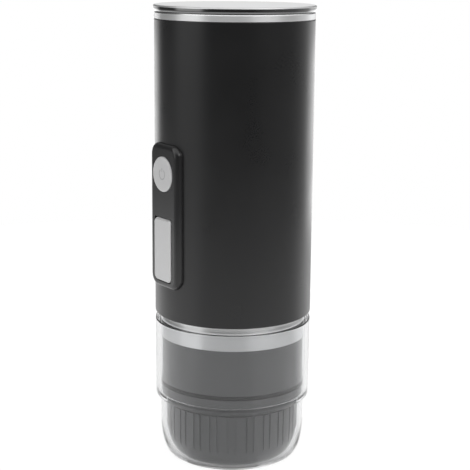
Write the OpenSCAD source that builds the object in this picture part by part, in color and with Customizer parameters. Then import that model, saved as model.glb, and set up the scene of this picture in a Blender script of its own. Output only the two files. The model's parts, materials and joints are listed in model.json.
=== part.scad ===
// Portable coffee machine: an upright black sleeve with a water tank under the lid, a pump and
// three cells in the middle, and a capsule brew unit below. A clear cup covers the brew unit,
// and the machine stands on it. Millimetres, +Z up. The origin is the middle of the cup's base,
// and the control panel faces -Y.

/* [Fits] */
// Gap between pieces that slide or turn on each other
slide_gap = 0.3; // [0.2:0.05:0.4]
// Gap between pieces that are fixed together
fit_gap = 0.1; // [0.05:0.01:0.15]

/* [Body] */
// Outer diameter of the black sleeve
body_d = 74; // [73:0.5:80]
// Length of the black sleeve
body_len = 137.4; // [132:0.2:160]
// Wall of the sleeve
body_wall = 1.2; // [0.8:0.1:1.6]
// Rounding of the sleeve's two rims
body_edge = 0.5; // [0.2:0.1:0.6]

/* [Rings] */
// Height of the steel ring that shows between the cup and the sleeve
ring_band_h = 3.5; // [2.5:0.1:6]
// Height of the ring's neck inside the cup
ring_neck_h = 7.9; // [5:0.1:12]
// Wall of the ring's neck
ring_wall = 1.2; // [0.8:0.1:1.6]
// Height of the ring spigots inside the sleeve
ring_spigot_h = 4; // [3:0.5:6]
// Thickness of the lip that is clamped in the lower ring
ring_lip_t = 1.2; // [0.8:0.1:1.6]
// Width of that lip
ring_lip_w = 2.1; // [1.5:0.1:3]
// Height of the brushed band at the top
top_ring_h = 3.1; // [2.6:0.1:6]

/* [Cup] */
// Height of the cup, floor to rim
cup_h = 67.4; // [66:0.2:76]
// Wall of the cup
cup_wall = 2.4; // [1.6:0.1:2.8]
// Floor of the cup
cup_floor = 1.5; // [1.2:0.1:3]
// How far the cup's rim stands in from the sleeve
cup_inset = 0.05; // [0:0.05:0.5]
// Depth of the step round the cup, which lies below the brew head
cup_step = 2.1; // [1:0.1:3]
// How much each part of the cup narrows downwards
cup_draft = 0.2; // [0:0.05:0.4]
// Width of the rounded bottom corner
cup_corner_w = 5.4; // [3:0.1:8]
// Height of the rounded bottom corner
cup_corner_h = 17; // [10:0.2:20]
// Rounding of the cup's rim
cup_rim = 0.7; // [0.3:0.1:0.8]
// Gap between the cup and the collar inside it
collar_gap = 0.7; // [0.5:0.05:0.9]

/* [Lid] */
// Height of the lid's rim
lid_h = 2.9; // [2.6:0.1:5]
// How far the lid's rim hangs out over the band
lid_overhang = 0.4; // [0:0.1:1.5]
// Height of the rounded lower part of the rim
lid_slant = 1.2; // [1:0.1:2]
// Thickness of the lid's top
lid_wall = 0.9; // [0.6:0.1:1]
// Gap between the lid and the band
lid_gap = 0.2; // [0.1:0.05:0.5]
// How deep the plug reaches below the rim
plug_depth = 8.2; // [7:0.2:14]
// Thickness of the plug's floor and wall
plug_wall = 1.6; // [1.2:0.1:2]
// Thickness of the seal ring round the plug
seal_d = 2.2; // [1.8:0.1:2.6]
// Diameter of the vent's stem
vent_d = 3.2; // [2:0.1:5]

/* [Control panel] */
// Width of the raised panel
panel_w = 22.8; // [21.5:0.1:25]
// Height of the raised panel
panel_h = 67.1; // [64:0.1:68]
// Corner radius of the panel
panel_corner = 5.5; // [4.5:0.1:8]
// Rounding of the panel's front edge
panel_edge = 2.25; // [0.8:0.05:2.5]
// How far the panel's face stands out from the sleeve
panel_rise = 1.8; // [1.7:0.1:2.6]
// Middle of the panel above the sleeve's lower end
panel_up = 48.7; // [46:0.1:52]
// Border of the panel that lies on the sleeve
panel_border = 2.1; // [1.4:0.05:2.3]
// Diameter of the power button
button_d = 16.1; // [14:0.1:16.6]
// Middle of the button above the panel's middle
button_up = 19.7; // [18:0.1:21]
// How far the button and the port cover stand out from the panel
button_proud = 0.5; // [0.3:0.1:1]
// Travel of the button
button_travel = 0.8; // [0.5:0.1:0.9]
// Thickness of the button's disc
button_t = 2.6; // [2.2:0.1:2.8]
// Width of the tabs that keep the button in the panel
tab_w = 11; // [8:0.5:12]
// Reach of those tabs beyond the button
tab_reach = 1.2; // [0.8:0.1:1.5]
// Width of the port cover
cover_w = 14.1; // [11:0.1:15]
// Height of the port cover
cover_h = 29.3; // [24:0.1:30]
// Thickness of the port cover
cover_t = 2.2; // [2:0.1:2.6]
// Corner radius of the port cover
cover_corner = 2.5; // [1.5:0.1:3]
// Middle of the port cover below the panel's middle
cover_down = 15.35; // [15.1:0.05:16]
// Gap above the port cover, which it needs to swing
hinge_gap = 0.2; // [0.2:0.05:0.4]
// Nail gap below the port cover
nail_gap = 0.6; // [0.4:0.1:1]
// Diameter of the cover's hinge pin
hinge_pin_d = 0.9; // [0.7:0.1:1]

/* [Control board] */
// Width of the board
board_w = 28; // [24:1:30]
// Thickness of the board
board_t = 1.6; // [1:0.1:2]
// Space between the sleeve's inside and the board's front
board_inset = 5.6; // [5.4:0.1:6]
// Side of the switch behind the button
switch_w = 6; // [5:0.5:8]
// Height of the switch above the board
switch_t = 3.4; // [3.1:0.1:3.6]
// Diameter of the stem between the button and the switch
stem_d = 3.5; // [2.5:0.1:4.5]
// How far the stem reaches into the switch
stem_in = 1.2; // [0.6:0.1:1.2]
// Side of the board's cell plug
plug_w = 8; // [6:0.5:10]
// Depth of the cell plug
plug_t = 4; // [3:0.5:5]
// Place of the cell plug above the lower bulkhead
plug_up = 10; // [8:1:14]
// Side of the controller chip
chip_w = 7; // [5:0.5:8]
// Thickness of the controller chip
chip_t = 1; // [0.8:0.1:1.4]
// Place of the controller chip above the lower bulkhead
chip_up = 30; // [26:1:36]
// Side of the driver chip beside it
driver_w = 5; // [4:0.5:6]
// Diameter of the capacitor
capacitor_d = 6; // [5:0.5:8]
// Height of the capacitor
capacitor_h = 5; // [4:0.5:6]
// Place of the capacitor above the lower bulkhead
capacitor_up = 45; // [42:1:50]
// Width of the charging socket's shell
socket_w = 3.3; // [3.2:0.1:3.6]
// Height of the charging socket's shell
socket_h = 9.1; // [9:0.1:9.4]
// Wall of the charging socket's shell
shell_t = 0.35; // [0.2:0.05:0.4]
// Thickness of the tongue in the charging socket
tongue_t = 0.7; // [0.6:0.05:0.9]
// Height of the tongue in the charging socket
tongue_h = 6.7; // [6.4:0.1:7]

/* [Brew unit] */
// Gap between the cup's lower part and the ribbed holder
holder_gap = 0.65; // [0.5:0.05:1.5]
// Space between the cup's floor and the holder's rim
holder_clear = 0.5; // [0.4:0.1:4]
// Height of the coffee outlet above the holder's rim
spout_up = 9.5; // [5:0.1:12]
// Wall of the holder
holder_wall = 2.5; // [2:0.1:3]
// Number of ribs round the holder
rib_count = 24; // [16:1:32]
// Width of a rib, between the middles of its two grooves
rib_w = 3.3; // [2.4:0.1:3.6]
// Turn of the first rib from the machine's right-hand side
rib_turn = 10.8; // [0:0.1:15]
// Width of the groove on each side of a rib
groove_w = 0.9; // [0.6:0.1:1.1]
// Depth of the groove on each side of a rib
groove_depth = 0.7; // [0.3:0.1:1]
// Height of the groove round the holder's top
rim_groove_h = 2; // [1:0.1:2.4]
// Depth of the groove round the holder's top
rim_groove_depth = 1.2; // [0.6:0.1:1.4]
// Width of the holder's rounded bottom corner
holder_corner_w = 5.6; // [3:0.1:7]
// Height of the holder's rounded bottom corner
holder_corner_h = 13; // [6:0.2:16]
// Diameter of the holder's neck in the brew head
neck_d = 53.4; // [50:0.2:54]
// Height of the holder's neck
neck_h = 13; // [12:0.1:14]
// Reach of the bayonet lugs beyond the neck
lug_reach = 2; // [1.2:0.1:2.2]
// Height of the bayonet lugs
lug_h = 3; // [2:0.1:4]
// Angle that each bayonet lug covers
lug_angle = 22; // [12:1:30]
// Turn of the holder from locked to free
twist = 50; // [30:1:55]
// Diameter of a capsule's flange
capsule_flange_d = 37.2; // [36:0.1:38]
// Diameter of a capsule's body at the flange
capsule_d = 30; // [28:0.1:31]
// Diameter of a capsule's closed end
capsule_end_d = 24.4; // [22:0.1:26]
// Height of a capsule
capsule_h = 28.6; // [26:0.1:31]
// Room above a capsule
capsule_room = 0.8; // [0.4:0.1:2]
// How far the roof of the capsule chamber lies below the sleeve
chamber_drop = 4.5; // [4.2:0.1:6]
// Height of the plate under a capsule above the holder's shoulder
plate_up = 4.6; // [3:0.1:5.5]
// Width of the gasket that seals the capsule
brew_gasket_w = 3.7; // [2.5:0.1:4]
// Thickness of that gasket
brew_gasket_t = 2.3; // [1.6:0.1:2.6]
// How far that gasket reaches beyond the capsule's flange
brew_gasket_over = 1.4; // [1:0.1:2]
// Diameter of the screw posts in the brew head
head_post_d = 9.2; // [8:0.1:10]
// Thickness of the pierced plate that the capsule stands on
plate_t = 1; // [0.8:0.1:1.2]
// Diameter of the coffee outlet
spout_d = 6; // [4:0.5:9]
// Thickness of the seal ring on the collar
cup_seal_d = 2.3; // [1.8:0.1:2.6]
// Middle of that seal above the collar's lower end
cup_seal_up = 5; // [3:0.1:6]
// Length of the needle's point below the chamber roof
needle_len = 6; // [4:0.5:8]
// Diameter of the needle's flange
needle_flange_d = 14; // [10:0.5:18]
// Thickness of the needle's flange
needle_flange_t = 2; // [1:0.1:2]

/* [Tank] */
// Room between the tank and the sleeve
tank_room = 3; // [2.4:0.1:4]
// Wall of the tank
tank_wall = 0.8; // [0.5:0.1:1]
// Radius of the tank's bottom corner
tank_corner = 5; // [3:0.5:8]
// Width of the tank's flange
tank_flange_w = 1.7; // [1.2:0.1:1.9]
// Thickness of the gasket under the flange
gasket_t = 0.8; // [0.5:0.1:1]
// Room between the upper bulkhead and the tank
heater_room = 14; // [13.5:0.5:18]
// Thickness of the heater plate
heater_t = 2.4; // [1.5:0.1:3]
// Outer diameter of the heater plate
heater_d = 54; // [40:1:56]
// Thickness of the nut that holds the heater
nut_h = 2.6; // [2:0.1:3]
// Size of that nut across its corners
nut_d = 15; // [12:0.5:18]
// Diameter of the tank's threaded stem
tank_stem_d = 8; // [7:0.5:9]
// Diameter of the thermostat
thermostat_d = 10; // [8:0.5:12]
// Diameter of the strainer over the tank's outlet
strainer_d = 14; // [10:1:20]

/* [Cells and frame] */
// Diameter of a cell
cell_d = 18.2; // [17:0.1:18.4]
// Length of a cell without its contact
cell_h = 65; // [64:0.5:70]
// Room above the cells
cell_room = 2.5; // [2:0.1:4]
// Thickness of both bulkheads
bulkhead_t = 3.6; // [3:0.1:5]
// Side of the contact plates on the cells
link_w = 8; // [6:0.5:10]
// Diameter of a cell's raised contact
contact_d = 6; // [5:0.1:8]
// Height of a cell's raised contact
contact_h = 1; // [0.6:0.1:1.2]
// Height of the sockets that hold the cell ends
cell_cup_h = 4; // [2:0.5:6]
// Wall of those sockets
cell_cup_t = 1; // [0.8:0.1:1.2]
// Diameter of the posts between the bulkheads
post_d = 6.4; // [5:0.1:7]
// Diameter of all screw threads
screw_d = 2.5; // [2:0.1:3]
// Length of the screws in the posts
screw_len = 12; // [8:1:16]
// Length of the screws that hold the brew head
head_screw_len = 9; // [7:0.5:9]
// Depth of the brew head under those screws
head_screw_seat = 5; // [4:0.5:6]

/* [Pump] */
// Outer diameter of the pump's yoke
yoke_d = 28; // [26:0.5:29]
// Thickness of the yoke's plates
yoke_t = 1.2; // [0.8:0.1:1.6]
// Width of the yoke's end plates
yoke_w = 16; // [14:0.5:17]
// Length of the yoke's end plates without the straps
yoke_len = 18; // [15:0.5:18.5]
// Width of the yoke's straps, which pass between the cells
strap_w = 8; // [5:0.5:9]
// Length of the coil between the yoke's plates
coil_len = 32; // [26:1:34]
// Outer diameter of the barrel
barrel_d = 12.4; // [12:0.1:13]
// Diameter of the plunger
plunger_d = 9.8; // [9:0.1:10]
// Length of the plunger
plunger_len = 26; // [20:1:28]
// Running gap round the plunger
plunger_gap = 0.1; // [0.05:0.01:0.1]
// Length of the plunger's spring
plunger_spring_h = 16; // [14:0.5:17]
// Radius of the plunger's spring
plunger_spring_r = 3.6; // [3:0.1:3.8]
// Wire of the plunger's spring
plunger_wire_d = 0.9; // [0.6:0.1:1]
// Curls of the plunger's spring
plunger_turns = 6.5; // [5:0.5:7]
// Radius of the valve's spring
valve_spring_r = 1.6; // [1.4:0.1:1.8]
// Wire of the valve's spring
valve_wire_d = 0.5; // [0.3:0.1:0.5]
// Curls of the valve's spring
valve_turns = 3.5; // [2.5:0.5:4]
// Outer diameter of the pump's end fittings
fitting_d = 16.4; // [16:0.1:18]
// Diameter of the fittings' necks in the rubber mounts
fitting_neck_d = 12; // [10:0.5:13]
// Outer diameter of the rubber mounts
mount_d = 18; // [17:0.5:20]
// Thickness of the rubber mounts' lips
mount_lip = 1; // [0.6:0.1:1.5]
// Depth of the barrel's seats in the end fittings
fitting_socket = 6; // [4:0.5:7]
// Diameter of the hose barbs
barb_d = 4; // [3.6:0.1:4.6]
// Length of the barbs on the hose to the brew head
barb_len = 2.4; // [2:0.1:2.6]
// Length of the barbs on the hose from the tank
tank_barb_len = 3.4; // [2.5:0.1:4]
// Wall of the hoses
hose_wall = 1.8; // [1:0.1:2]
// Diameter of the valve ball
ball_d = 4.2; // [3.8:0.1:4.4]

/* [Hidden] */
$fn = 96;
cut = 1;
body_r = body_d / 2;
body_ir = body_r - body_wall;
spigot_r = body_ir - fit_gap;
cup_or = body_r - cup_inset;
cup_ir = cup_or - cup_draft - cup_wall;
cup_low_or = cup_or - cup_draft - cup_step;
cup_foot_or = cup_low_or - cup_draft;
cup_low_ir = cup_foot_or - cup_wall;
collar_r = cup_ir - collar_gap;
ring_ir = collar_r - ring_wall;
lip_ir = ring_ir - ring_lip_w;
holder_r = cup_low_ir - holder_gap;
tank_or = body_ir - tank_room;
tank_ir = tank_or - tank_wall;
tank_flange_r = tank_or + tank_flange_w;
lid_foot_r = body_r - 0.6;
lid_in_r = lid_foot_r - 1;

// Heights above the floor: the brew unit hangs from the sleeve, and the cup's step lies below it
z_body0 = cup_h + ring_band_h;
z_chamber1 = z_body0 - chamber_drop;
z_plate1 = z_chamber1 - capsule_room - capsule_h;
z_plate0 = z_plate1 - plate_t;
z_holder1 = z_plate0 - plate_up;
z_head0 = z_holder1 + slide_gap + 0.1;
z_ledge = z_head0;
z_step = z_ledge - cup_wall;
z_holder0 = cup_floor + holder_clear;
z_neck1 = z_holder1 + neck_h;
z_socket1 = z_neck1 + 0.7;
z_lug0 = z_holder1 + 5.2;
z_cup_seal = z_head0 + cup_seal_up;
z_spout0 = z_holder0 + spout_up;
z_ring0 = cup_h - ring_neck_h;
z_lip0 = z_body0 + 0.5;
z_lip1 = z_lip0 + ring_lip_t;
z_bulk1 = z_body0 + ring_spigot_h + bulkhead_t;
z_cell0 = z_bulk1 + 0.5;
z_deck0 = z_bulk1 + cell_h + cell_room;
z_deck1 = z_deck0 + bulkhead_t;
z_tank0 = z_deck1 + heater_room;
z_body1 = z_body0 + body_len;
z_ring1 = z_body1 + top_ring_h;
z_flange1 = z_ring1 - 0.2;
z_seat = z_flange1 - tank_wall - gasket_t;
z_lid0 = z_ring1 + lid_gap;
z_lid1 = z_lid0 + lid_h;
z_plug0 = z_lid0 - plug_depth;

// Panel, measured outwards from the axis
panel_z = z_body0 + panel_up;
panel_face = body_r + panel_rise;
panel_foot = sqrt(body_r * body_r - panel_w * panel_w / 4) - 0.6;
panel_back = body_ir - 2.2;
window_w = panel_w - 2 * panel_border;
window_h = panel_h - 2 * panel_border;
window_corner = panel_corner - panel_border;
button_z = panel_z + button_up;
button_face = panel_face + button_proud;
button_back = button_face - button_t;
tab_back = button_back - 1.4;
cover_z = panel_z - cover_down;
recess_floor = button_face - cover_t - fit_gap;
hinge_y = button_face - cover_t / 2;
hinge_z = cover_z + cover_h / 2 - cover_t / 2;
pin_len = cover_w + 2.4;
board_front = body_ir - board_inset;
switch_face = board_front + switch_t;

// Frame
cell_r = body_ir - cell_d / 2 - cell_cup_t - 0.65;
cell_angles = [20, 90, 160];
post_r = body_ir - post_d / 2 - 2;
post_angles = [55, 125, 228, 312];
head_screw_r = capsule_flange_d / 2 + brew_gasket_over + fit_gap + screw_d + 0.4;
head_screw_angles = [30, 150, 270];

// Pump, from the lower bulkhead up
z_pump0 = z_bulk1 + mount_lip;
z_pump1 = z_deck0 - mount_lip;
z_out0 = z_bulk1 - bulkhead_t - 0.6;
z_inlet1 = z_deck1 + 0.4;
z_seat_v = z_pump0 + 3;
z_barrel0 = z_seat_v + 2;
z_barrel1 = z_pump1 - 4;
z_spring0 = z_barrel0 + 3;
z_plunger0 = z_spring0 + plunger_spring_h + 0.2;
z_coil0 = (z_barrel0 + z_barrel1 - coil_len) / 2;
seat_hole_r = ball_d / 3;
z_ball = z_seat_v - sqrt(ball_d * ball_d / 4 - seat_hole_r * seat_hole_r) - 0.1;
z_vspring0 = z_out0 + 1;
z_vspring1 = z_ball - ball_d * 0.4;
barrel_ir = plunger_d / 2 + plunger_gap;
hose_r = barb_d / 2 + 0.05 + hose_wall;
spring_rings = 8;
spring_sides = 6;

// Points of an ellipse about c from angle a0 to a1
function arc(c, rx, ry, a0, a1, n) =
    [for (i = [0:n]) let (a = a0 + (a1 - a0) * i / n) [c[0] + rx * cos(a), c[1] + ry * sin(a)]];

// Middle line of a coil: a helix of the given radius
function coil_line(r, z0, z1, turns) =
    let (n = round(turns * spring_rings))
    [for (i = [0:n]) [r * cos(360 * turns * i / n), r * sin(360 * turns * i / n), z0 + (z1 - z0) * i / n]];

// Least space between the curls of a coil, measured on its middle line
function coil_gap(line, wire_d) =
    min([for (i = [0:len(line) - 1 - spring_rings]) norm(line[i + spring_rings] - line[i])]) - wire_d;

module rod(r, z0, z1) {
    translate([0, 0, z0]) cylinder(r = r, h = z1 - z0);
}

module tube(r_out, r_in, z0, z1) {
    difference() {
        rod(r_out, z0, z1);
        rod(r_in, z0 - cut, z1 + cut);
    }
}

module sector(r0, r1, z0, z1, a0, a1) {
    rotate([0, 0, a0]) rotate_extrude(angle = a1 - a0) translate([r0, z0]) square([r1 - r0, z1 - z0]);
}

module around(angles, r) {
    for (a = angles) rotate([0, 0, a]) translate([r, 0, 0]) children();
}

// Drawn on the front: local x across, local y up, local z outwards from the axis
module front(z) {
    translate([0, 0, z]) rotate([90, 0, 0]) children();
}

module rounded_rect(w, h, r) {
    square([w - 2 * r, h], center = true);
    square([w, h - 2 * r], center = true);
    for (x = [-1, 1], y = [-1, 1]) translate([x * (w / 2 - r), y * (h / 2 - r)]) circle(r);
}

// A plate with rounded corners and a rounded front edge
module soft_plate(w, h, corner, depth, edge) {
    hull($fn = 32) {
        for (x = [-1, 1], y = [-1, 1]) translate([x * (w / 2 - corner), y * (h / 2 - corner), 0]) {
            cylinder(r = corner, h = depth - edge, $fn = 32);
            translate([0, 0, depth - edge]) rotate_extrude($fn = 32) translate([corner - edge, 0]) {
                intersection() {
                    circle(edge, $fn = 32);
                    translate([0, -edge]) square([edge, 2 * edge]);
                }
            }
        }
    }
}

// A coil spring: a six-sided wire swept along a helix
module spring(r, wire_d, z0, z1, turns) {
    wire_r = wire_d / 2;
    line = coil_line(r, z0 + wire_r, z1 - wire_r, turns);
    n = len(line) - 1;
    k = (z1 - z0 - wire_d) / turns / (2 * PI * r);
    m = sqrt(1 + k * k);
    points = [for (i = [0:n]) let (a = 360 * turns * i / n) for (j = [0:spring_sides - 1])
        let (b = 360 * j / spring_sides, u = wire_r * cos(b), v = wire_r * sin(b) / m)
        line[i] + [u * cos(a) + v * k * sin(a), u * sin(a) - v * k * cos(a), v]];
    walls = [for (i = [0:n - 1], j = [0:spring_sides - 1], s = [0, 1])
        let (p = i * spring_sides + j, q = i * spring_sides + (j + 1) % spring_sides)
        s == 0 ? [p, p + spring_sides, q] : [q, p + spring_sides, q + spring_sides]];
    first = [for (j = [1:spring_sides - 2]) [0, j, j + 1]];
    e = n * spring_sides;
    last = [for (j = [1:spring_sides - 2]) [e, e + j + 1, e + j]];
    polyhedron(points, concat(walls, first, last));
}

// Pieces that show

module cup() {
    foot_r = cup_foot_or - cup_corner_w;
    inner_foot_r = cup_low_ir - cup_corner_w;
    color("#e6edf0") rotate_extrude() polygon(concat(
        [[0, 0]],
        arc([foot_r, cup_corner_h], cup_corner_w, cup_corner_h, 270, 360, 12),
        [[cup_low_or, z_step]],
        arc([cup_or - cup_draft - 0.5, z_step + 0.5], 0.5, 0.5, 270, 360, 3),
        arc([cup_or - cup_rim, cup_h - cup_rim], cup_rim, cup_rim, 0, 90, 4),
        arc([cup_ir + cup_rim, cup_h - cup_rim], cup_rim, cup_rim, 90, 180, 4),
        [[cup_ir, z_ledge], [cup_low_ir, z_ledge]],
        arc([inner_foot_r, cup_corner_h], cup_corner_w, cup_corner_h - cup_floor, 360, 270, 12),
        [[0, cup_floor]]
    ));
}

module bottom_ring() {
    color("#b9babc") rotate_extrude() polygon([
        [ring_ir, z_ring0], [collar_r, z_ring0], [collar_r, z_body0], [spigot_r, z_body0],
        [spigot_r, z_body0 + ring_spigot_h], [ring_ir, z_body0 + ring_spigot_h],
        [ring_ir, z_lip1], [lip_ir, z_lip1], [lip_ir, z_lip0], [ring_ir, z_lip0]
    ]);
}

module body_sleeve() {
    e = body_edge;
    color("#19191a") difference() {
        rotate_extrude() polygon(concat(
            [[body_ir, z_body0]],
            arc([body_r - e, z_body0 + e], e, e, 270, 360, 3),
            arc([body_r - e, z_body1 - e], e, e, 0, 90, 3),
            [[body_ir, z_body1]]
        ));
        front(panel_z) linear_extrude(body_r + cut) rounded_rect(window_w, window_h, window_corner);
    }
}

module top_ring() {
    bore_r = tank_or + 0.2;
    seat_r = tank_flange_r + 0.2;
    color("#c3c4c6") rotate_extrude() polygon([
        [bore_r, z_body1 - ring_spigot_h], [spigot_r, z_body1 - ring_spigot_h], [spigot_r, z_body1],
        [body_r, z_body1], [body_r, z_ring1 - 0.5], [body_r - 0.3, z_ring1],
        [seat_r, z_ring1], [seat_r, z_seat], [bore_r, z_seat]
    ]);
}

module lid_cap() {
    rim_r = body_r + lid_overhang;
    e = 0.45;
    color("#d3d4d5") rotate_extrude() polygon(concat(
        [[0, z_lid1 - lid_wall], [lid_in_r, z_lid1 - lid_wall], [lid_in_r, z_lid0]],
        arc([lid_foot_r, z_lid0 + lid_slant], rim_r - lid_foot_r, lid_slant, 270, 360, 4),
        arc([rim_r - e, z_lid1 - e], e, e, 0, 90, 4),
        [[0, z_lid1]]
    ));
}

module control_panel() {
    w = cover_w + 2 * fit_gap;
    h = cover_h + hinge_gap + nail_gap;
    color("#202022") difference() {
        union() {
            difference() {
                front(panel_z) translate([0, 0, panel_foot]) {
                    soft_plate(panel_w, panel_h, panel_corner, panel_face - panel_foot, panel_edge);
                }
                rod(body_r + 0.05, panel_z - panel_h, panel_z + panel_h);
            }
            front(panel_z) translate([0, 0, panel_back]) {
                linear_extrude(panel_face - panel_edge - panel_back) {
                    rounded_rect(window_w - 2 * fit_gap, window_h - 2 * fit_gap, window_corner);
                }
            }
        }
        front(button_z) {
            rod(button_d / 2 + 0.15, panel_back - cut, panel_face + cut);
            translate([0, 0, panel_back - cut]) {
                linear_extrude(button_back + fit_gap - panel_back + cut) tab_shape(0.2);
            }
        }
        front(cover_z + (hinge_gap - nail_gap) / 2) translate([0, 0, recess_floor]) {
            linear_extrude(panel_face - recess_floor + cut) rounded_rect(w, h, cover_corner);
        }
        translate([-w / 2, -panel_face - cut, hinge_z - cover_corner]) {
            cube([w, panel_face - recess_floor + cut, cover_corner + cover_t / 2 + hinge_gap]);
        }
        front(cover_z) translate([-socket_w / 2 - 0.2, -socket_h / 2 - 0.2, panel_back - cut]) {
            cube([socket_w + 0.4, socket_h + 0.4, recess_floor - panel_back + 2 * cut]);
        }
        on_hinge() cylinder(d = hinge_pin_d, h = pin_len, center = true);
    }
}

// Along the axis that the port cover swings on
module on_hinge() {
    translate([0, -hinge_y, hinge_z]) rotate([0, 90, 0]) children();
}

// Outline of the two tabs that keep the button in the panel
module tab_shape(gap) {
    intersection() {
        circle(button_d / 2 + tab_reach + gap);
        square([tab_w + 2 * gap, button_d * 2], center = true);
    }
}

module power_button() {
    r = button_d / 2;
    color("#bfbfc0") front(button_z) {
        rotate_extrude() polygon(concat(
            [[0, button_back]],
            [[r, button_back]],
            arc([r - 0.4, button_face - 0.4], 0.4, 0.4, 0, 90, 4),
            [[0, button_face]]
        ));
        translate([0, 0, tab_back]) linear_extrude(button_back - tab_back) tab_shape(0);
    }
}

module port_cover() {
    lower = cover_h - cover_t / 2;
    color("#bdbdbe") difference() {
        intersection() {
            union() {
                translate([-cover_w / 2, -button_face, hinge_z - lower]) cube([cover_w, cover_t, lower]);
                on_hinge() cylinder(d = cover_t, h = cover_w, center = true);
            }
            front(cover_z) translate([0, 0, recess_floor]) linear_extrude(cover_t + cut) {
                rounded_rect(cover_w, cover_h, cover_corner);
            }
        }
        on_hinge() cylinder(d = hinge_pin_d + 0.1, h = 2 * cover_w, center = true);
    }
}

module brew_head() {
    skirt_r = ring_ir - fit_gap;
    chamber_r = capsule_d / 2 + 0.5;
    chamber_end_r = capsule_end_d / 2 + 0.5;
    gasket_r = capsule_flange_d / 2 + brew_gasket_over;
    top_r = lip_ir - fit_gap;
    color("#55565a") difference() {
        union() {
            rod(collar_r, z_head0, z_ring0 - 0.05);
            rod(skirt_r, z_head0, z_lip0 - 0.05);
            rod(top_r, z_head0, z_lip1);
        }
        // Socket for the holder's neck, with its three bayonet tracks
        rod(neck_d / 2 + slide_gap, z_head0 - cut, z_socket1);
        for (a = [0, 120, 240]) {
            sector(neck_d / 2 - cut, neck_d / 2 + lug_reach + slide_gap, z_lug0 - slide_gap,
                z_lug0 + lug_h + slide_gap, a - 2, a + lug_angle + twist + 2);
            sector(neck_d / 2 - cut, neck_d / 2 + lug_reach + slide_gap - 0.05, z_head0 - cut,
                z_lug0 + 1, a + twist - 2, a + twist + lug_angle + 1.5);
        }
        // Capsule chamber
        translate([0, 0, z_socket1 - 0.1]) {
            cylinder(r1 = chamber_r, r2 = chamber_end_r, h = z_chamber1 - z_socket1 + 0.1);
        }
        tube(gasket_r + fit_gap, gasket_r - brew_gasket_w - fit_gap, z_socket1 - 0.5,
            z_neck1 + brew_gasket_t + 2 * fit_gap);
        rod(needle_flange_d / 2 + fit_gap, z_chamber1 - cut, z_chamber1 + needle_flange_t);
        rod(hose_r + 0.4, z_chamber1, z_lip1 + cut);
        // Hollow round the chamber, between the screw posts
        difference() {
            tube(top_r - 1.6, chamber_r + 3.5, z_socket1 + 4, z_lip1 + cut);
            around(head_screw_angles, head_screw_r) rod(head_post_d / 2, z_socket1, z_lip1 + 2 * cut);
        }
        around(head_screw_angles, head_screw_r) {
            rod(screw_d + 0.4, z_socket1 - cut, z_lip1 - head_screw_seat);
            rod(screw_d / 2 + 0.05, z_socket1, z_lip1 + cut);
        }
        rotate_extrude() translate([collar_r - 0.55, z_cup_seal]) circle(d = cup_seal_d + 0.1);
    }
}

module cup_seal() {
    color("#2b2b2d") rotate_extrude() translate([collar_r - 0.55, z_cup_seal]) circle(d = cup_seal_d);
}

module capsule_holder() {
    w = holder_corner_w;
    z_corner = z_holder0 + holder_corner_h;
    z_under = z_holder1 - holder_wall;
    seat_r = capsule_flange_d / 2 + 0.4;
    spout_r = spout_d / 2;
    z_groove1 = z_step - 0.4;
    z_groove0 = z_groove1 - rim_groove_h;
    groove_r = holder_r - rim_groove_depth;
    color("#5b5c60") difference() {
        union() {
            rotate_extrude() polygon(concat(
                [[spout_r, z_spout0], [spout_r + 1.8, z_spout0], [spout_r + 1.8, z_spout0 + 3],
                 [seat_r, z_under], [holder_r - holder_wall, z_under]],
                arc([holder_r - holder_wall - w, z_corner], w, holder_corner_h, 360, 270, 8),
                arc([holder_r - w, z_corner], w, holder_corner_h, 270, 360, 8),
                [[holder_r, z_groove0], [groove_r, z_groove0], [groove_r, z_groove1], [holder_r, z_groove1],
                 [holder_r, z_holder1 - 0.4], [holder_r - 0.4, z_holder1], [neck_d / 2, z_holder1],
                 [neck_d / 2, z_neck1], [seat_r, z_neck1], [seat_r, z_plate0], [seat_r - 2, z_plate0],
                 [spout_r, z_spout0 + 3.5]]
            ));
            for (a = [0, 120, 240]) {
                sector(neck_d / 2 - 1, neck_d / 2 + lug_reach, z_lug0, z_lug0 + lug_h, a, a + lug_angle);
            }
        }
        for (i = [0:rib_count - 1], side = [-1, 1]) {
            rotate([0, 0, 360 * i / rib_count + rib_turn]) {
                translate([holder_r - groove_depth, (side * rib_w - groove_w) / 2, z_holder0 - cut]) {
                    cube([groove_depth + 1, groove_w, z_groove0 - z_holder0 + cut + rim_groove_h / 2]);
                }
            }
        }
    }
}

// Lid inside

module lid_plug() {
    plug_r = tank_ir - slide_gap;
    groove_r = tank_ir - 0.1 - seal_d - 0.05;
    z_seal = z_plug0 + 2.8;
    half = seal_d / 2 + 0.05;
    color("#3a3b3e") rotate_extrude() polygon([
        [vent_d / 2 + 0.05, z_plug0], [plug_r, z_plug0], [plug_r, z_seal - half], [groove_r, z_seal - half],
        [groove_r, z_seal + half], [plug_r, z_seal + half], [plug_r, z_lid0], [lid_in_r - 0.2, z_lid0],
        [lid_in_r - 0.2, z_lid1 - lid_wall], [groove_r - plug_wall, z_lid1 - lid_wall],
        [groove_r - plug_wall, z_plug0 + plug_wall], [vent_d / 2 + 0.05, z_plug0 + plug_wall]
    ]);
}

module lid_seal() {
    color("#1f1f20") rotate_extrude() {
        translate([tank_ir - 0.1 - seal_d / 2, z_plug0 + 2.8]) circle(d = seal_d);
    }
}

module lid_vent() {
    color("#2f2f31") rotate_extrude() polygon([
        [0, z_plug0 - 1], [vent_d, z_plug0 - 0.8], [vent_d, z_plug0], [vent_d / 2, z_plug0],
        [vent_d / 2, z_plug0 + plug_wall], [vent_d / 2 + 0.7, z_plug0 + plug_wall],
        [vent_d / 3, z_plug0 + plug_wall + 2], [0, z_plug0 + plug_wall + 2]
    ]);
}

// Tank and heater

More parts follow.
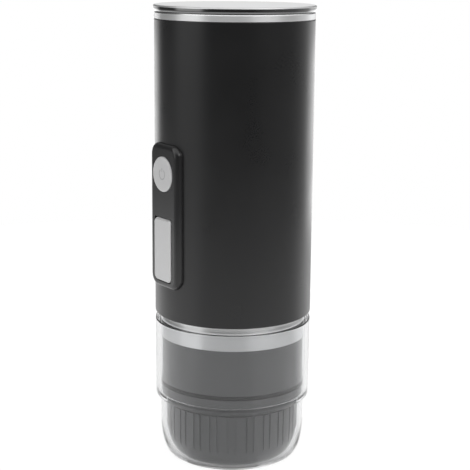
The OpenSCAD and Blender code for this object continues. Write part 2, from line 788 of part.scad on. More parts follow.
module water_tank() {
    c = tank_corner;
    z_nut0 = z_tank0 - heater_t - nut_h;
    color("#b4b6b8") rotate_extrude() polygon(concat(
        [[1.2, z_nut0 - tank_barb_len], [barb_d / 2, z_nut0 - tank_barb_len], [barb_d / 2, z_nut0],
         [tank_stem_d / 2, z_nut0], [tank_stem_d / 2, z_tank0]],
        arc([tank_or - c, z_tank0 + c], c, c, 270, 360, 6),
        [[tank_or, z_flange1 - tank_wall], [tank_flange_r, z_flange1 - tank_wall],
         [tank_flange_r, z_flange1], [tank_ir, z_flange1]],
        arc([tank_or - c, z_tank0 + c], c - tank_wall, c - tank_wall, 360, 270, 6),
        [[1.2, z_tank0 + tank_wall]]
    ));
}

module tank_gasket() {
    color("#2a2a2b") tube(tank_flange_r, tank_or + 0.3, z_seat, z_seat + gasket_t);
}

module tank_strainer() {
    color("#a9abad") translate([0, 0, z_tank0 + tank_wall]) difference() {
        cylinder(d = strainer_d, h = 0.8);
        around([0:45:315], strainer_d / 4) translate([0, 0, -cut]) cylinder(r = 0.9, h = 4, $fn = 24);
        translate([0, 0, -cut]) cylinder(r = 0.9, h = 4, $fn = 24);
    }
}

module tank_insulation() {
    color("#8d8f90") tube(body_ir - 0.3, tank_or + 0.3, z_tank0 + 2, z_body1 - ring_spigot_h - 0.5);
}

module heater_plate() {
    color("#9a9b9d") tube(heater_d / 2, tank_stem_d / 2 + fit_gap, z_tank0 - heater_t, z_tank0);
}

module heater_nut() {
    z = z_tank0 - heater_t;
    color("#c9b36a") difference() {
        translate([0, 0, z - nut_h]) cylinder(d = nut_d, h = nut_h, $fn = 6);
        rod(tank_stem_d / 2 + 0.05, z - nut_h - cut, z + cut);
    }
}

module heater_thermostat() {
    z = z_tank0 - heater_t;
    color("#3b3b3d") translate([heater_d / 4 + 3, 0, 0]) {
        rod(thermostat_d / 2, z - 4.5, z);
        for (y = [-2, 2]) translate([-0.4, y - 1, z - 8.5]) cube([0.8, 2, 4]);
    }
}

// Frame and cells

module lower_bulkhead() {
    z_disc0 = z_body0 + ring_spigot_h;
    color("#46474a") difference() {
        union() {
            rod(ring_ir - fit_gap, z_lip1, z_bulk1);
            rod(body_ir - 0.15, z_disc0, z_bulk1);
            around(post_angles, post_r) rod(post_d / 2, z_bulk1 - 1, z_deck0);
            cell_cups(z_bulk1 - 1, z_bulk1 + cell_cup_h);
        }
        rod(mount_d / 2, z_lip1 - cut, z_bulk1 + cut);
        board_slot(z_bulk1 - 1.1, z_bulk1 + cut);
        around(post_angles, post_r) rod(screw_d / 2, z_deck0 - screw_len, z_deck0 + cut);
        around(head_screw_angles, head_screw_r) {
            rod(screw_d / 2, z_lip1 - cut, z_lip1 + head_screw_len - head_screw_seat + 1);
        }
    }
}

module upper_bulkhead() {
    color("#46474a") difference() {
        union() {
            rod(body_ir - 0.15, z_deck0, z_deck1);
            cell_cups(z_deck0 - cell_cup_h, z_deck0 + 1);
        }
        rod(mount_d / 2, z_deck0 - cut, z_deck1 + cut);
        board_slot(z_deck0 - cut, z_deck0 + 1.1);
        panel_notch(z_deck0 - cell_cup_h, z_deck1 + cut);
        around(post_angles, post_r) rod(screw_d / 2 + 0.1, z_deck0 - cut, z_deck1 + cut);
    }
}

// Sockets that hold the cell ends
module cell_cups(z0, z1) {
    r = cell_d / 2 + fit_gap;
    around(cell_angles, cell_r) tube(r + cell_cup_t, r, z0, z1);
}

module board_slot(z0, z1) {
    translate([-board_w / 2 - 0.2, -board_front - 0.1, z0]) cube([board_w + 0.4, board_t + 0.2, z1 - z0]);
}

// Room for the back of the control panel and the switch, in front of the board
module panel_notch(z0, z1) {
    w = window_w + 2 * slide_gap;
    translate([-w / 2, -body_r, z0]) cube([w, body_r - board_front + 0.2, z1 - z0]);
}

module screw(z_head, len) {
    rod(screw_d / 2, z_head - len, z_head + 0.5);
    difference() {
        rod(screw_d, z_head, z_head + 2);
        translate([0, 0, z_head + 1]) cylinder(r = screw_d * 0.55, h = 2, $fn = 6);
    }
}

module bulkhead_screws() {
    color("#8c8d90") around(post_angles, post_r) screw(z_deck1, screw_len);
}

module brew_head_screws() {
    color("#8c8d90") around(head_screw_angles, head_screw_r) {
        translate([0, 0, z_lip1 - head_screw_seat]) mirror([0, 0, 1]) screw(0, head_screw_len);
    }
}

module battery_cell(a) {
    color("#3f6f8f") around([a], cell_r) {
        rotate_extrude() polygon([
            [0, z_cell0], [cell_d / 2 - 0.6, z_cell0], [cell_d / 2, z_cell0 + 0.6],
            [cell_d / 2, z_cell0 + cell_h - 0.6], [cell_d / 2 - 0.6, z_cell0 + cell_h],
            [contact_d / 2, z_cell0 + cell_h], [contact_d / 2, z_cell0 + cell_h + contact_h],
            [0, z_cell0 + cell_h + contact_h]
        ]);
    }
}

module cell_links() {
    color("#c4c5c7") {
        around(cell_angles, cell_r) {
            translate([-link_w / 2, -link_w / 2, z_bulk1]) cube([link_w, link_w, z_cell0 - z_bulk1]);
            translate([-link_w / 2, -link_w / 2, z_cell0 + cell_h + contact_h]) cube([link_w, link_w, 0.3]);
        }
    }
}

module control_board() {
    color("#2e5d43") translate([-board_w / 2, -board_front, z_bulk1 - 1]) {
        cube([board_w, board_t, z_deck0 - z_bulk1 + 2]);
    }
}

module board_components() {
    y = -board_front + board_t;
    color("#2c2d30") {
        translate([-plug_w / 2, y, z_bulk1 + plug_up]) cube([plug_w, plug_t, plug_w]);
        translate([-chip_w / 2, y, z_bulk1 + chip_up]) cube([chip_w, chip_t, chip_w]);
        translate([chip_w / 2 + 2, y, z_bulk1 + chip_up - driver_w + 1]) cube([driver_w, 1.4, driver_w - 1]);
        translate([-capacitor_d / 2 - 5, y, z_bulk1 + capacitor_up]) {
            rotate([-90, 0, 0]) cylinder(d = capacitor_d, h = capacitor_h);
        }
    }
}

module tact_switch() {
    color("#3d3e40") front(button_z) difference() {
        translate([-switch_w / 2, -switch_w / 2, board_front]) cube([switch_w, switch_w, switch_t]);
        rod(stem_d / 2 + fit_gap, switch_face - stem_in - button_travel - 0.4, switch_face + cut);
    }
}

module switch_plunger() {
    color("#d9d9d6") front(button_z) rod(stem_d / 2, switch_face - stem_in, tab_back);
}

module charging_socket() {
    mouth = recess_floor - 0.2;
    color("#c6c7c9") front(cover_z) {
        difference() {
            translate([-socket_w / 2, -socket_h / 2, board_front]) {
                cube([socket_w, socket_h, mouth - board_front]);
            }
            translate([-socket_w / 2 + shell_t, -socket_h / 2 + shell_t, board_front + 1]) {
                cube([socket_w - 2 * shell_t, socket_h - 2 * shell_t, mouth - board_front]);
            }
        }
        translate([-tongue_t / 2, -tongue_h / 2, board_front + 0.5]) {
            cube([tongue_t, tongue_h, mouth - board_front - 1.3]);
        }
    }
}

module cover_hinge_pin() {
    color("#9c9da0") on_hinge() cylinder(d = hinge_pin_d, h = pin_len, center = true);
}

// Pump

module pump_outlet() {
    color("#50555c") difference() {
        union() {
            rod(barb_d / 2, z_out0 - barb_len, z_out0);
            rod(fitting_neck_d / 2, z_out0, z_pump0);
            rod(fitting_d / 2, z_pump0, z_barrel0 + fitting_socket);
        }
        rod(1, z_out0 - barb_len - cut, z_vspring0 + cut);
        rod(ball_d / 2 + 0.6, z_vspring0, z_seat_v);
        rod(seat_hole_r, z_seat_v - cut, z_barrel0 + cut);
        rod(barrel_d / 2 + 0.05, z_barrel0, z_barrel0 + fitting_socket + cut);
    }
}

module pump_inlet() {
    color("#50555c") difference() {
        union() {
            rod(fitting_d / 2, z_barrel1 - fitting_socket, z_pump1);
            rod(fitting_neck_d / 2, z_pump1, z_inlet1);
            rod(barb_d / 2, z_inlet1, z_inlet1 + tank_barb_len);
        }
        rod(1.2, z_barrel1 - cut, z_inlet1 + tank_barb_len + cut);
        rod(barrel_d / 2 + 0.05, z_barrel1 - fitting_socket - cut, z_barrel1);
    }
}

module pump_barrel() {
    color("#c0c1c3") difference() {
        rod(barrel_d / 2, z_barrel0, z_barrel1);
        rod(barrel_ir, z_spring0, z_barrel1 + cut);
        rod(seat_hole_r, z_barrel0 - cut, z_spring0 + cut);
    }
}

module pump_plunger() {
    color("#a2a4a7") tube(plunger_d / 2, 1.5, z_plunger0, z_plunger0 + plunger_len);
}

module pump_coil() {
    r_in = barrel_d / 2 + 0.1;
    r_out = yoke_d / 2 - yoke_t - 2 * slide_gap;
    color("#8a4b2c") rotate_extrude() polygon([
        [r_in, z_coil0], [r_out, z_coil0], [r_out, z_coil0 + 1.5], [r_out - 1, z_coil0 + 1.5],
        [r_out - 1, z_coil0 + coil_len - 1.5], [r_out, z_coil0 + coil_len - 1.5],
        [r_out, z_coil0 + coil_len], [r_in, z_coil0 + coil_len]
    ]);
}

module pump_yoke() {
    z0 = z_coil0 - 2 * yoke_t;
    h = coil_len + 4 * yoke_t;
    color("#77797c") rotate([0, 0, (cell_angles[0] + cell_angles[1]) / 2]) difference() {
        intersection() {
            rod(yoke_d / 2, z_coil0 - yoke_t, z_coil0 + coil_len + yoke_t);
            union() {
                translate([-yoke_d, -strap_w / 2, z0]) cube([2 * yoke_d, strap_w, h]);
                translate([-yoke_len / 2, -yoke_w / 2, z0]) cube([yoke_len, yoke_w, h]);
            }
        }
        rod(yoke_d / 2 - yoke_t, z_coil0, z_coil0 + coil_len);
        rod(barrel_d / 2 + 0.1, z_coil0 - 2 * yoke_t, z_coil0 + coil_len + 2 * yoke_t);
    }
}

module plunger_spring() {
    color("#b0b2b5") spring(plunger_spring_r, plunger_wire_d, z_spring0, z_spring0 + plunger_spring_h,
        plunger_turns);
}

module valve_ball() {
    color("#d5d6d8") translate([0, 0, z_ball]) sphere(d = ball_d);
}

module valve_spring() {
    color("#b0b2b5") spring(valve_spring_r, valve_wire_d, z_vspring0, z_vspring1, valve_turns);
}

module pump_mounts() {
    color("#262627") {
        tube(mount_d / 2, fitting_neck_d / 2 + 0.05, z_bulk1 - bulkhead_t, z_bulk1);
        tube(mount_d / 2 + 1.5, fitting_neck_d / 2 + 0.05, z_bulk1, z_pump0);
        tube(mount_d / 2, fitting_neck_d / 2 + 0.05, z_deck0, z_deck1);
        tube(mount_d / 2 + 1.5, fitting_neck_d / 2 + 0.05, z_pump1, z_deck0);
    }
}

module inlet_hose() {
    z_nut0 = z_tank0 - heater_t - nut_h;
    color("#c9c6bb") tube(hose_r, barb_d / 2 + 0.05, z_inlet1 + 0.2, z_nut0 - 0.2);
}

module outlet_hose() {
    color("#c9c6bb") tube(hose_r, barb_d / 2 + 0.05, z_chamber1 + needle_flange_t + 0.2, z_out0 - 0.2);
}

// Brew chamber

module inlet_needle() {
    z_barb1 = z_chamber1 + needle_flange_t + barb_len;
    color("#bfc0c2") difference() {
        union() {
            rod(barb_d / 2, z_chamber1 + 1, z_barb1);
            rod(needle_flange_d / 2, z_chamber1, z_chamber1 + needle_flange_t);
            translate([0, 0, z_chamber1 - needle_len]) cylinder(r1 = 0.9, r2 = 2.2, h = needle_len + 0.5);
        }
        rod(0.7, z_chamber1 - needle_len - cut, z_barb1 + cut);
    }
}

module brew_gasket() {
    r = capsule_flange_d / 2 + brew_gasket_over;
    color("#8b3a32") tube(r, r - brew_gasket_w, z_neck1 + fit_gap, z_neck1 + fit_gap + brew_gasket_t);
}

module pierce_plate() {
    r = capsule_flange_d / 2 + 0.2;
    color("#c2c3c5") {
        difference() {
            rod(r, z_plate0, z_plate1);
            for (k = [1:2], i = [0:6 * k - 1]) rotate([0, 0, 60 * i / k]) {
                translate([k * 5.4, 0, z_plate0 - cut]) cylinder(r = 1, h = plate_t + 2 * cut, $fn = 24);
            }
        }
        for (i = [0:5]) rotate([0, 0, 60 * i + 30]) translate([5.4, 0, z_plate1 - 0.1]) {
            cylinder(r1 = 1.2, r2 = 0.2, h = 1.6, $fn = 24);
        }
    }
}

plunger_line = coil_line(plunger_spring_r, 0, plunger_spring_h - plunger_wire_d, plunger_turns);
valve_line = coil_line(valve_spring_r, 0, z_vspring1 - z_vspring0 - valve_wire_d, valve_turns);
echo(str("plunger spring, least gap ", coil_gap(plunger_line, plunger_wire_d)));
echo(str("valve spring, least gap ", coil_gap(valve_line, valve_wire_d)));

cup();
bottom_ring();
body_sleeve();
top_ring();
lid_cap();
lid_plug();
lid_seal();
lid_vent();
control_panel();
power_button();
switch_plunger();
port_cover();
cover_hinge_pin();
tact_switch();
charging_socket();
control_board();
board_components();
water_tank();
tank_gasket();
tank_strainer();
tank_insulation();
heater_plate();
heater_nut();
heater_thermostat();
lower_bulkhead();
upper_bulkhead();
bulkhead_screws();
battery_cell(cell_angles[0]);  // battery_cell_1
battery_cell(cell_angles[1]);  // battery_cell_2
battery_cell(cell_angles[2]);  // battery_cell_3
cell_links();
pump_outlet();
pump_inlet();
pump_barrel();
pump_plunger();
pump_coil();
pump_yoke();
plunger_spring();
valve_ball();
valve_spring();
pump_mounts();
inlet_hose();
outlet_hose();
brew_head();
cup_seal();
brew_head_screws();
inlet_needle();
brew_gasket();
capsule_holder();
pierce_plate();
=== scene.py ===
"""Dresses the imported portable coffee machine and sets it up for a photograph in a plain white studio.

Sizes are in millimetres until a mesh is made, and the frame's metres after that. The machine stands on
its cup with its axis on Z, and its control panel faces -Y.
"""

import json
import logging
import math
from dataclasses import dataclass, field
from enum import Enum
from typing import Any, Callable, Union

import bmesh
import bpy
import numpy as np
from mathutils import Matrix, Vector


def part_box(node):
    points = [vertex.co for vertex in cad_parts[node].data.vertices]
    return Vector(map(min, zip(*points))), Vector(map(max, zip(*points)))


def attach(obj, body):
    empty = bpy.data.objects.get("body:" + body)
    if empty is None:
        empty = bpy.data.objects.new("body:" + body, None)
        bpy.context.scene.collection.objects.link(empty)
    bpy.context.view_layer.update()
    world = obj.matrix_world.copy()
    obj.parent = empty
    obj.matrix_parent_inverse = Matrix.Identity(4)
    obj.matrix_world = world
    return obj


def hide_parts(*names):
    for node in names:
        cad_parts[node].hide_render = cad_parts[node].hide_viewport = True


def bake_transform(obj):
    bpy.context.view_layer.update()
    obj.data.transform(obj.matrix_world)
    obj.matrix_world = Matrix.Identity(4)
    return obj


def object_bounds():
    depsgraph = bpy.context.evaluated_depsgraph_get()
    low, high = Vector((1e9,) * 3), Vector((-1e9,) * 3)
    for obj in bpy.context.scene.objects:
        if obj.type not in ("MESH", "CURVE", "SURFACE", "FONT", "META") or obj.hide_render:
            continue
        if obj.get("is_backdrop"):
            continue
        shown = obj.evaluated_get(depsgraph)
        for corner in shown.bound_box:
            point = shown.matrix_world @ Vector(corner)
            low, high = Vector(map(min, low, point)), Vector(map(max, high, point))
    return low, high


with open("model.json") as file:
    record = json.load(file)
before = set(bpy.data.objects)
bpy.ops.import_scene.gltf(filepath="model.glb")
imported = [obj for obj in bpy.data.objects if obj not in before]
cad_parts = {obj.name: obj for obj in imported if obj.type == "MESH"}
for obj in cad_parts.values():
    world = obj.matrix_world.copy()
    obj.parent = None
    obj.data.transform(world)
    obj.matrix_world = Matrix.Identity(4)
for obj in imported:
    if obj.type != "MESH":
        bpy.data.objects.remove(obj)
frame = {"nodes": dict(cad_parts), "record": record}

log = logging.getLogger("coffee_machine")
Pair = tuple[float, float]
Triple = tuple[float, float, float]
Colour = Triple

MM = 0.001  # metres in a millimetre
WELD = 1e-7  # metres within which points are merged
BRACE = 0.12  # millimetres from a bend to the point that braces the flat beside it
SHARP = 32.0  # degrees of bend above which an edge stays sharp


class Body(Enum):
    """The rigid bodies that new pieces ride on."""

    HOUSING = "housing"
    LID = "lid"
    CUP = "cup"
    BUTTON = "button"
    PORT_COVER = "port_cover"
    PLUNGER = "plunger"
    VALVE = "valve"


# Surfaces


def arc(cx: float, cy: float, rx: float, ry: float, start: float, stop: float, steps: int) -> np.ndarray:
    """Points of an ellipse: centre plus (rx cos a, ry sin a) for a from start to stop degrees.

    Args:
        cx, cy: The centre.
        rx, ry: The two radii.
        start, stop: The first and last angle in degrees.
        steps: The number of chords.

    Returns:
        An array of steps + 1 points.
    """
    a = np.radians(np.linspace(start, stop, steps + 1))
    return np.stack([cx + rx * np.cos(a), cy + ry * np.sin(a)], axis=1)


def bend(cx: float, cy: float, r: float, start: float, stop: float, steps: int) -> np.ndarray:
    """Points of a circle: an arc whose two radii are r."""
    return arc(cx, cy, r, r, start, stop, steps)


def round_section(r: float, z: float, d: float) -> np.ndarray:
    """The section of a round seal: a closed circle of 24 points and diameter d about (r, z)."""
    return bend(r, z, d / 2, 0, 345, 23)


def outline(*parts: Union[np.ndarray, Pair]) -> np.ndarray:
    """Joins points and arcs into one closed outline and braces its long straights.

    A straight longer than eight braces gets one more point near each of its ends, so that smooth
    shading stays inside the bend beside it.

    Args:
        parts: Single points, or arrays of points, in order.

    Returns:
        The outline as an array of points.
    """
    ring = np.concatenate([np.atleast_2d(np.asarray(part, float)) for part in parts])
    following = np.roll(ring, -1, axis=0)
    length = np.linalg.norm(following - ring, axis=1, keepdims=True)
    inward = (following - ring) / np.maximum(length, 1e-9) * BRACE
    long = length > 8 * BRACE
    keep = np.concatenate([np.ones_like(long), long, long], axis=1)
    return np.stack([ring, ring + inward, following - inward], axis=1)[keep]


def grid_quads(rows: int, cols: int, wrap_cols: bool) -> np.ndarray:
    """Corner numbers of the quads on a grid whose rows close on themselves.

    Args:
        rows: Points round the closed direction.
        cols: Points along the other direction.
        wrap_cols: Whether that direction closes too.

    Returns:
        An array of four point numbers a quad.
    """
    i, j = np.meshgrid(np.arange(rows), np.arange(cols if wrap_cols else cols - 1), indexing="ij")
    i, j = i.ravel(), j.ravel()
    k, m = (i + 1) % rows, (j + 1) % cols
    return np.stack([i * cols + j, k * cols + j, k * cols + m, i * cols + m], axis=1)


@dataclass
class Surface:
    """A mesh in the making: points in millimetres, quads, and flat caps of many corners."""

    points: np.ndarray
    quads: np.ndarray
    caps: list[np.ndarray] = field(default_factory=list)

    def __add__(self, other: "Surface") -> "Surface":
        """Both surfaces as one, the other's point numbers moved up."""
        n = len(self.points)
        return Surface(
            np.concatenate([self.points, other.points]),
            np.concatenate([self.quads, other.quads + n]),
            self.caps + [cap + n for cap in other.caps],
        )

    def to_front(self, height: float) -> "Surface":
        """Turns a shape that was worked out along its own z to the front and lifts it.

        Local (x, y, z) becomes (x, -z, y + height).

        Args:
            height: How far it is lifted.

        Returns:
            The placed surface.
        """
        x, y, z = self.points.T
        return Surface(np.stack([x, -z, y + height], axis=1), self.quads, self.caps)

    def to_object(self, name: str, sharp: float = SHARP) -> bpy.types.Object:
        """Makes the Blender object at the origin, with doubles merged and smooth shading.

        Args:
            name: The piece's name.
            sharp: Edges that bend more than this many degrees stay sharp.

        Returns:
            The new object.
        """
        mesh = bpy.data.meshes.new(name)
        mesh.from_pydata(self.points * MM, [], self.quads.tolist() + [cap.tolist() for cap in self.caps])
        welded = bmesh.new()
        welded.from_mesh(mesh)
        bmesh.ops.remove_doubles(welded, verts=welded.verts, dist=WELD)
        bmesh.ops.dissolve_degenerate(welded, edges=welded.edges, dist=WELD)
        if welded.calc_volume(signed=True) < 0:
            log.warning("%s is inside out", name)
        welded.to_mesh(mesh)
        welded.free()
        piece = bpy.data.objects.new(name, mesh)
        bpy.context.scene.collection.objects.link(piece)
        shade(piece, sharp)
        return piece


def shade(piece: bpy.types.Object, sharp: float) -> None:
    """Shades a piece smooth, apart from edges that bend more than sharp degrees."""
    piece.data.shade_smooth()
    piece.data.set_sharp_from_angle(angle=math.radians(sharp))


def turned(ring: np.ndarray, steps: int = 256) -> Surface:
    """Turns a closed outline round the z axis: outline point (r, z) becomes (r cos a, r sin a, z).

    Args:
        ring: Outline points (r, z), anticlockwise with r to the right.
        steps: The number of turns of a.

    Returns:
        The turned surface.
    """
    a = np.arange(steps) * (2 * np.pi / steps)
    r, z = ring.T
    points = np.stack([np.outer(np.cos(a), r), np.outer(np.sin(a), r), np.tile(z, (steps, 1))], axis=-1)
    return Surface(points.reshape(-1, 3), grid_quads(steps, len(r), True))


def capped(points: np.ndarray) -> Surface:
    """A surface on a grid of points (round, along, xyz) that closes round, with a flat cap at each end.

    Args:
        points: The grid; seen from its last end, the points go round anticlockwise.

    Returns:
        The closed surface.
    """
    rows, cols, _ = points.shape
    first = np.arange(rows) * cols
    return Surface(points.reshape(-1, 3), grid_quads(rows, cols, False), [first[::-1], first + cols - 1])


@dataclass
class RoundedPath:
    """A rectangle with round corners, walked anticlockwise: corner centres plus radius times direction."""

    width: float
    height: float
    corner: float
    steps: int = 12
    side_steps: int = 12

    def walk(self) -> tuple[np.ndarray, np.ndarray]:
        """Centres and outward directions of the path's points.

        Along a corner the direction turns and the centre stays. Along a side the centre moves from one
        corner's centre to the next and the direction stays.

        Returns:
            Two arrays of (x, y) rows.
        """
        x, y = self.width / 2 - self.corner, self.height / 2 - self.corner
        corners = np.array([[x, y], [-x, y], [-x, -y], [x, -y]])
        turn = np.linspace(0, np.pi / 2, self.steps + 1)
        along = np.linspace(0, 1, self.side_steps + 1)[1:-1, None]
        centres, angles = [], []
        for q in range(4):
            centres += [np.repeat(corners[q : q + 1], len(turn), axis=0)]
            centres += [corners[q] + (corners[(q + 1) % 4] - corners[q]) * along]
            angles += [turn + q * np.pi / 2, np.full(len(along), (q + 1) * np.pi / 2)]
        angle = np.concatenate(angles)
        return np.concatenate(centres), np.stack([np.cos(angle), np.sin(angle)], axis=1)


def rimmed(path: RoundedPath, inset: np.ndarray, depth: np.ndarray) -> Surface:
    """Carries an edge profile round a rounded rectangle and closes both ends with flat caps.

    Point (i, j) is the path's centre i plus (corner - inset) times its direction, at the depth of the
    profile's point j. Inset and depth may differ from path point to path point.

    Args:
        path: The rectangle.
        inset: How far in each profile point lies, back to front, as (points of the path, profile).
        depth: How far out along the shape's own z it lies, in the same layout.

    Returns:
        The closed surface, facing its own z.
    """
    centre, way = path.walk()
    inset, depth = (np.broadcast_to(a, (len(centre), np.shape(a)[-1])) for a in (inset, depth))
    flat = centre[:, None, :] + (path.corner - inset)[..., None] * way[:, None, :]
    return capped(np.concatenate([flat, depth[..., None]], axis=-1))


def slab(path: RoundedPath, back: float, front: float, edge: Union[float, np.ndarray], steps: int) -> Surface:
    """A plate between two depths with quarter-round edges: inset edge (1 - cos a), depth edge sin a.

    Args:
        path: The plate's outline.
        back, front: Its two depths.
        edge: The radius of both edges, or a column of radii, one for each point of the path.
        steps: Chords in each edge.

    Returns:
        The plate.
    """
    e = np.atleast_2d(edge)
    a = np.radians(np.linspace(0, 90, steps + 1))
    curve, rise = e * (1 - np.cos(a)), e * np.sin(a)
    inset = np.concatenate([e + BRACE, curve[:, ::-1], curve, e + BRACE], axis=1)
    depth = np.concatenate([back + 0 * e, back + e - rise[:, ::-1], front - e + rise, front + 0 * e], axis=1)
    return rimmed(path, inset, depth)


def carved(piece: bpy.types.Object, path: RoundedPath, back: float, front: float, z: float) -> None:
    """Cuts a straight hole into the front of a piece for good.

    Args:
        piece: The piece that is cut.
        path: The hole's outline.
        back, front: The depths that the hole reaches from and to, in front of the axis.
        z: The height of the outline's middle.
    """
    cutter = rimmed(path, np.zeros(2), np.array([back, front])).to_front(z).to_object("cutter")
    cut = piece.modifiers.new("cut", "BOOLEAN")
    cut.operation, cut.solver, cut.object = "DIFFERENCE", "EXACT", cutter
    done = bpy.data.meshes.new_from_object(piece.evaluated_get(bpy.context.evaluated_depsgraph_get()))
    piece.modifiers.clear()
    old, piece.data = piece.data, done
    done.name = piece.name
    bpy.data.meshes.remove(old)
    bpy.data.objects.remove(cutter)
    shade(piece, SHARP)


# Shader maths


Term = Union["Wire", float]
Operator = Callable[["Wire", Term], "Wire"]


def both_ways(operation: str) -> tuple[Operator, Operator]:
    """An operator of Wire and its reflected form.

    Args:
        operation: The Math node's operation.

    Returns:
        A method that takes self first, and one that takes self second, as in 1 - mask.
    """

    def plain(self: "Wire", other: Term) -> "Wire":
        """The operation on self and other."""
        return self.math(operation, self, other)

    def reflected(self: "Wire", other: Term) -> "Wire":
        """The operation on other and self."""
        return self.math(operation, other, self)

    return plain, reflected


@dataclass(frozen=True)
class Wire:
    """An output socket that takes part in arithmetic: each operator adds a Math node."""

    bench: "Bench"
    socket: bpy.types.NodeSocket

    __add__, __radd__ = both_ways("ADD")
    __sub__, __rsub__ = both_ways("SUBTRACT")
    __mul__, __rmul__ = both_ways("MULTIPLY")
    __truediv__, __rtruediv__ = both_ways("DIVIDE")
    __pow__, __rpow__ = both_ways("POWER")

    def math(self, operation: str, *terms: Term) -> "Wire":
        """A Math node on the given terms."""
        return self.bench.add("ShaderNodeMath", {"operation": operation}, dict(enumerate(terms)))

    def sine(self) -> "Wire":
        """The sine of an angle in radians."""
        return self.math("SINE", self)

    def atan2(self, other: Term) -> "Wire":
        """The angle whose tangent is self over other, in radians."""
        return self.math("ARCTAN2", self, other)

    def most(self, other: Term) -> "Wire":
        """The larger of two values."""
        return self.math("MAXIMUM", self, other)

    def least(self, other: Term) -> "Wire":
        """The smaller of two values."""
        return self.math("MINIMUM", self, other)


Settings = dict[str, Any]
Sockets = dict[Union[int, str], Any]


@dataclass(frozen=True)
class Bench:
    """A node tree that finishes and the studio are wired on."""

    tree: bpy.types.NodeTree

    @classmethod
    def of(cls, owner: Union[bpy.types.Material, bpy.types.World]) -> "Bench":
        """The emptied node tree of a material or a world."""
        owner.use_nodes = True
        owner.node_tree.nodes.clear()
        return cls(owner.node_tree)

    def node(self, kind: str, settings: Settings, sockets: Sockets) -> bpy.types.Node:
        """Adds one node.

        Args:
            kind: The node's type.
            settings: Its properties, set first; "stops" are a ramp's (place, brightness) pairs.
            sockets: Values or wires of its inputs.

        Returns:
            The node.
        """
        node = self.tree.nodes.new(kind)
        for key, value in settings.items():
            if key == "stops":
                self._ramp(node.color_ramp, value)
            else:
                setattr(node, key, value)
        for key, value in sockets.items():
            if isinstance(value, Wire):
                self.tree.links.new(value.socket, node.inputs[key])
            else:
                node.inputs[key].default_value = value
        return node

    @staticmethod
    def _ramp(ramp: bpy.types.ColorRamp, stops: tuple[Pair, ...]) -> None:
        """Sets a ramp's grey stops, given as (place, brightness)."""
        while len(ramp.elements) < len(stops):
            ramp.elements.new(1.0)
        for element, (place, level) in zip(ramp.elements, stops):
            element.position, element.color = place, (*grey(level), 1.0)

    def add(self, kind: str, settings: Settings, sockets: Sockets, output: Union[int, str] = 0) -> Wire:
        """Adds one node and gives one of its outputs as a wire."""
        return Wire(self, self.node(kind, settings, sockets).outputs[output])

    def place(self) -> Wire:
        """The point on the piece in millimetres, from its Object coordinates."""
        metres = self.add("ShaderNodeTexCoord", {}, {}, "Object")
        return self.add("ShaderNodeVectorMath", {"operation": "SCALE"}, {0: metres, "Scale": 1 / MM})

    def stretched(self, vector: Wire, by: Triple) -> Wire:
        """A vector times a factor along each axis."""
        return self.add("ShaderNodeVectorMath", {"operation": "MULTIPLY"}, {0: vector, 1: by})

    def split(self, vector: Wire) -> tuple[Wire, Wire, Wire]:
        """The three parts of a vector."""
        node = self.node("ShaderNodeSeparateXYZ", {}, {0: vector})
        return Wire(self, node.outputs[0]), Wire(self, node.outputs[1]), Wire(self, node.outputs[2])

    def noise(self, vector: Wire, scale: float, detail: float = 2.0) -> Wire:
        """Smooth noise between about 0.2 and 0.8."""
        sockets = {"Vector": vector, "Scale": scale, "Detail": detail}
        return self.add("ShaderNodeTexNoise", {}, sockets, "Fac")

    def step(self, value: Wire, low: float, high: float) -> Wire:
        """A soft step: 0 below low, 1 above high."""
        settings = {"interpolation_type": "SMOOTHSTEP"}
        return self.add("ShaderNodeMapRange", settings, {"Value": value, "From Min": low, "From Max": high})

    def blend(self, mask: Term, first: Any, second: Any) -> Wire:
        """A colour between two others, by a mask from 0 to 1."""
        sockets = {0: mask, 6: self._rgba(first), 7: self._rgba(second)}
        return self.add("ShaderNodeMix", {"data_type": "RGBA"}, sockets, 2)

    @staticmethod
    def _rgba(colour: Any) -> Any:
        """A plain colour with its alpha, or the wire as it is."""
        return colour if isinstance(colour, Wire) else (*colour, 1.0)

    def bump(self, height: Wire, depth: float) -> Wire:
        """A normal from a height of 0 to 1 that stands for depth millimetres."""
        return self.add("ShaderNodeBump", {}, {"Height": height, "Distance": depth * MM, "Strength": 1.0})


def grey(level: float) -> Colour:
    """The grey of a brightness."""
    return (level, level, level)


def scaled(colour: Colour, by: float) -> Colour:
    """A colour times a number, kept below 1."""
    return tuple(min(c * by, 1.0) for c in colour)


def swing(noise: Wire, by: float) -> Wire:
    """Noise about its middle, for a roughness that goes up and down by half of by."""
    return by * (noise - 0.5)


# Finishes


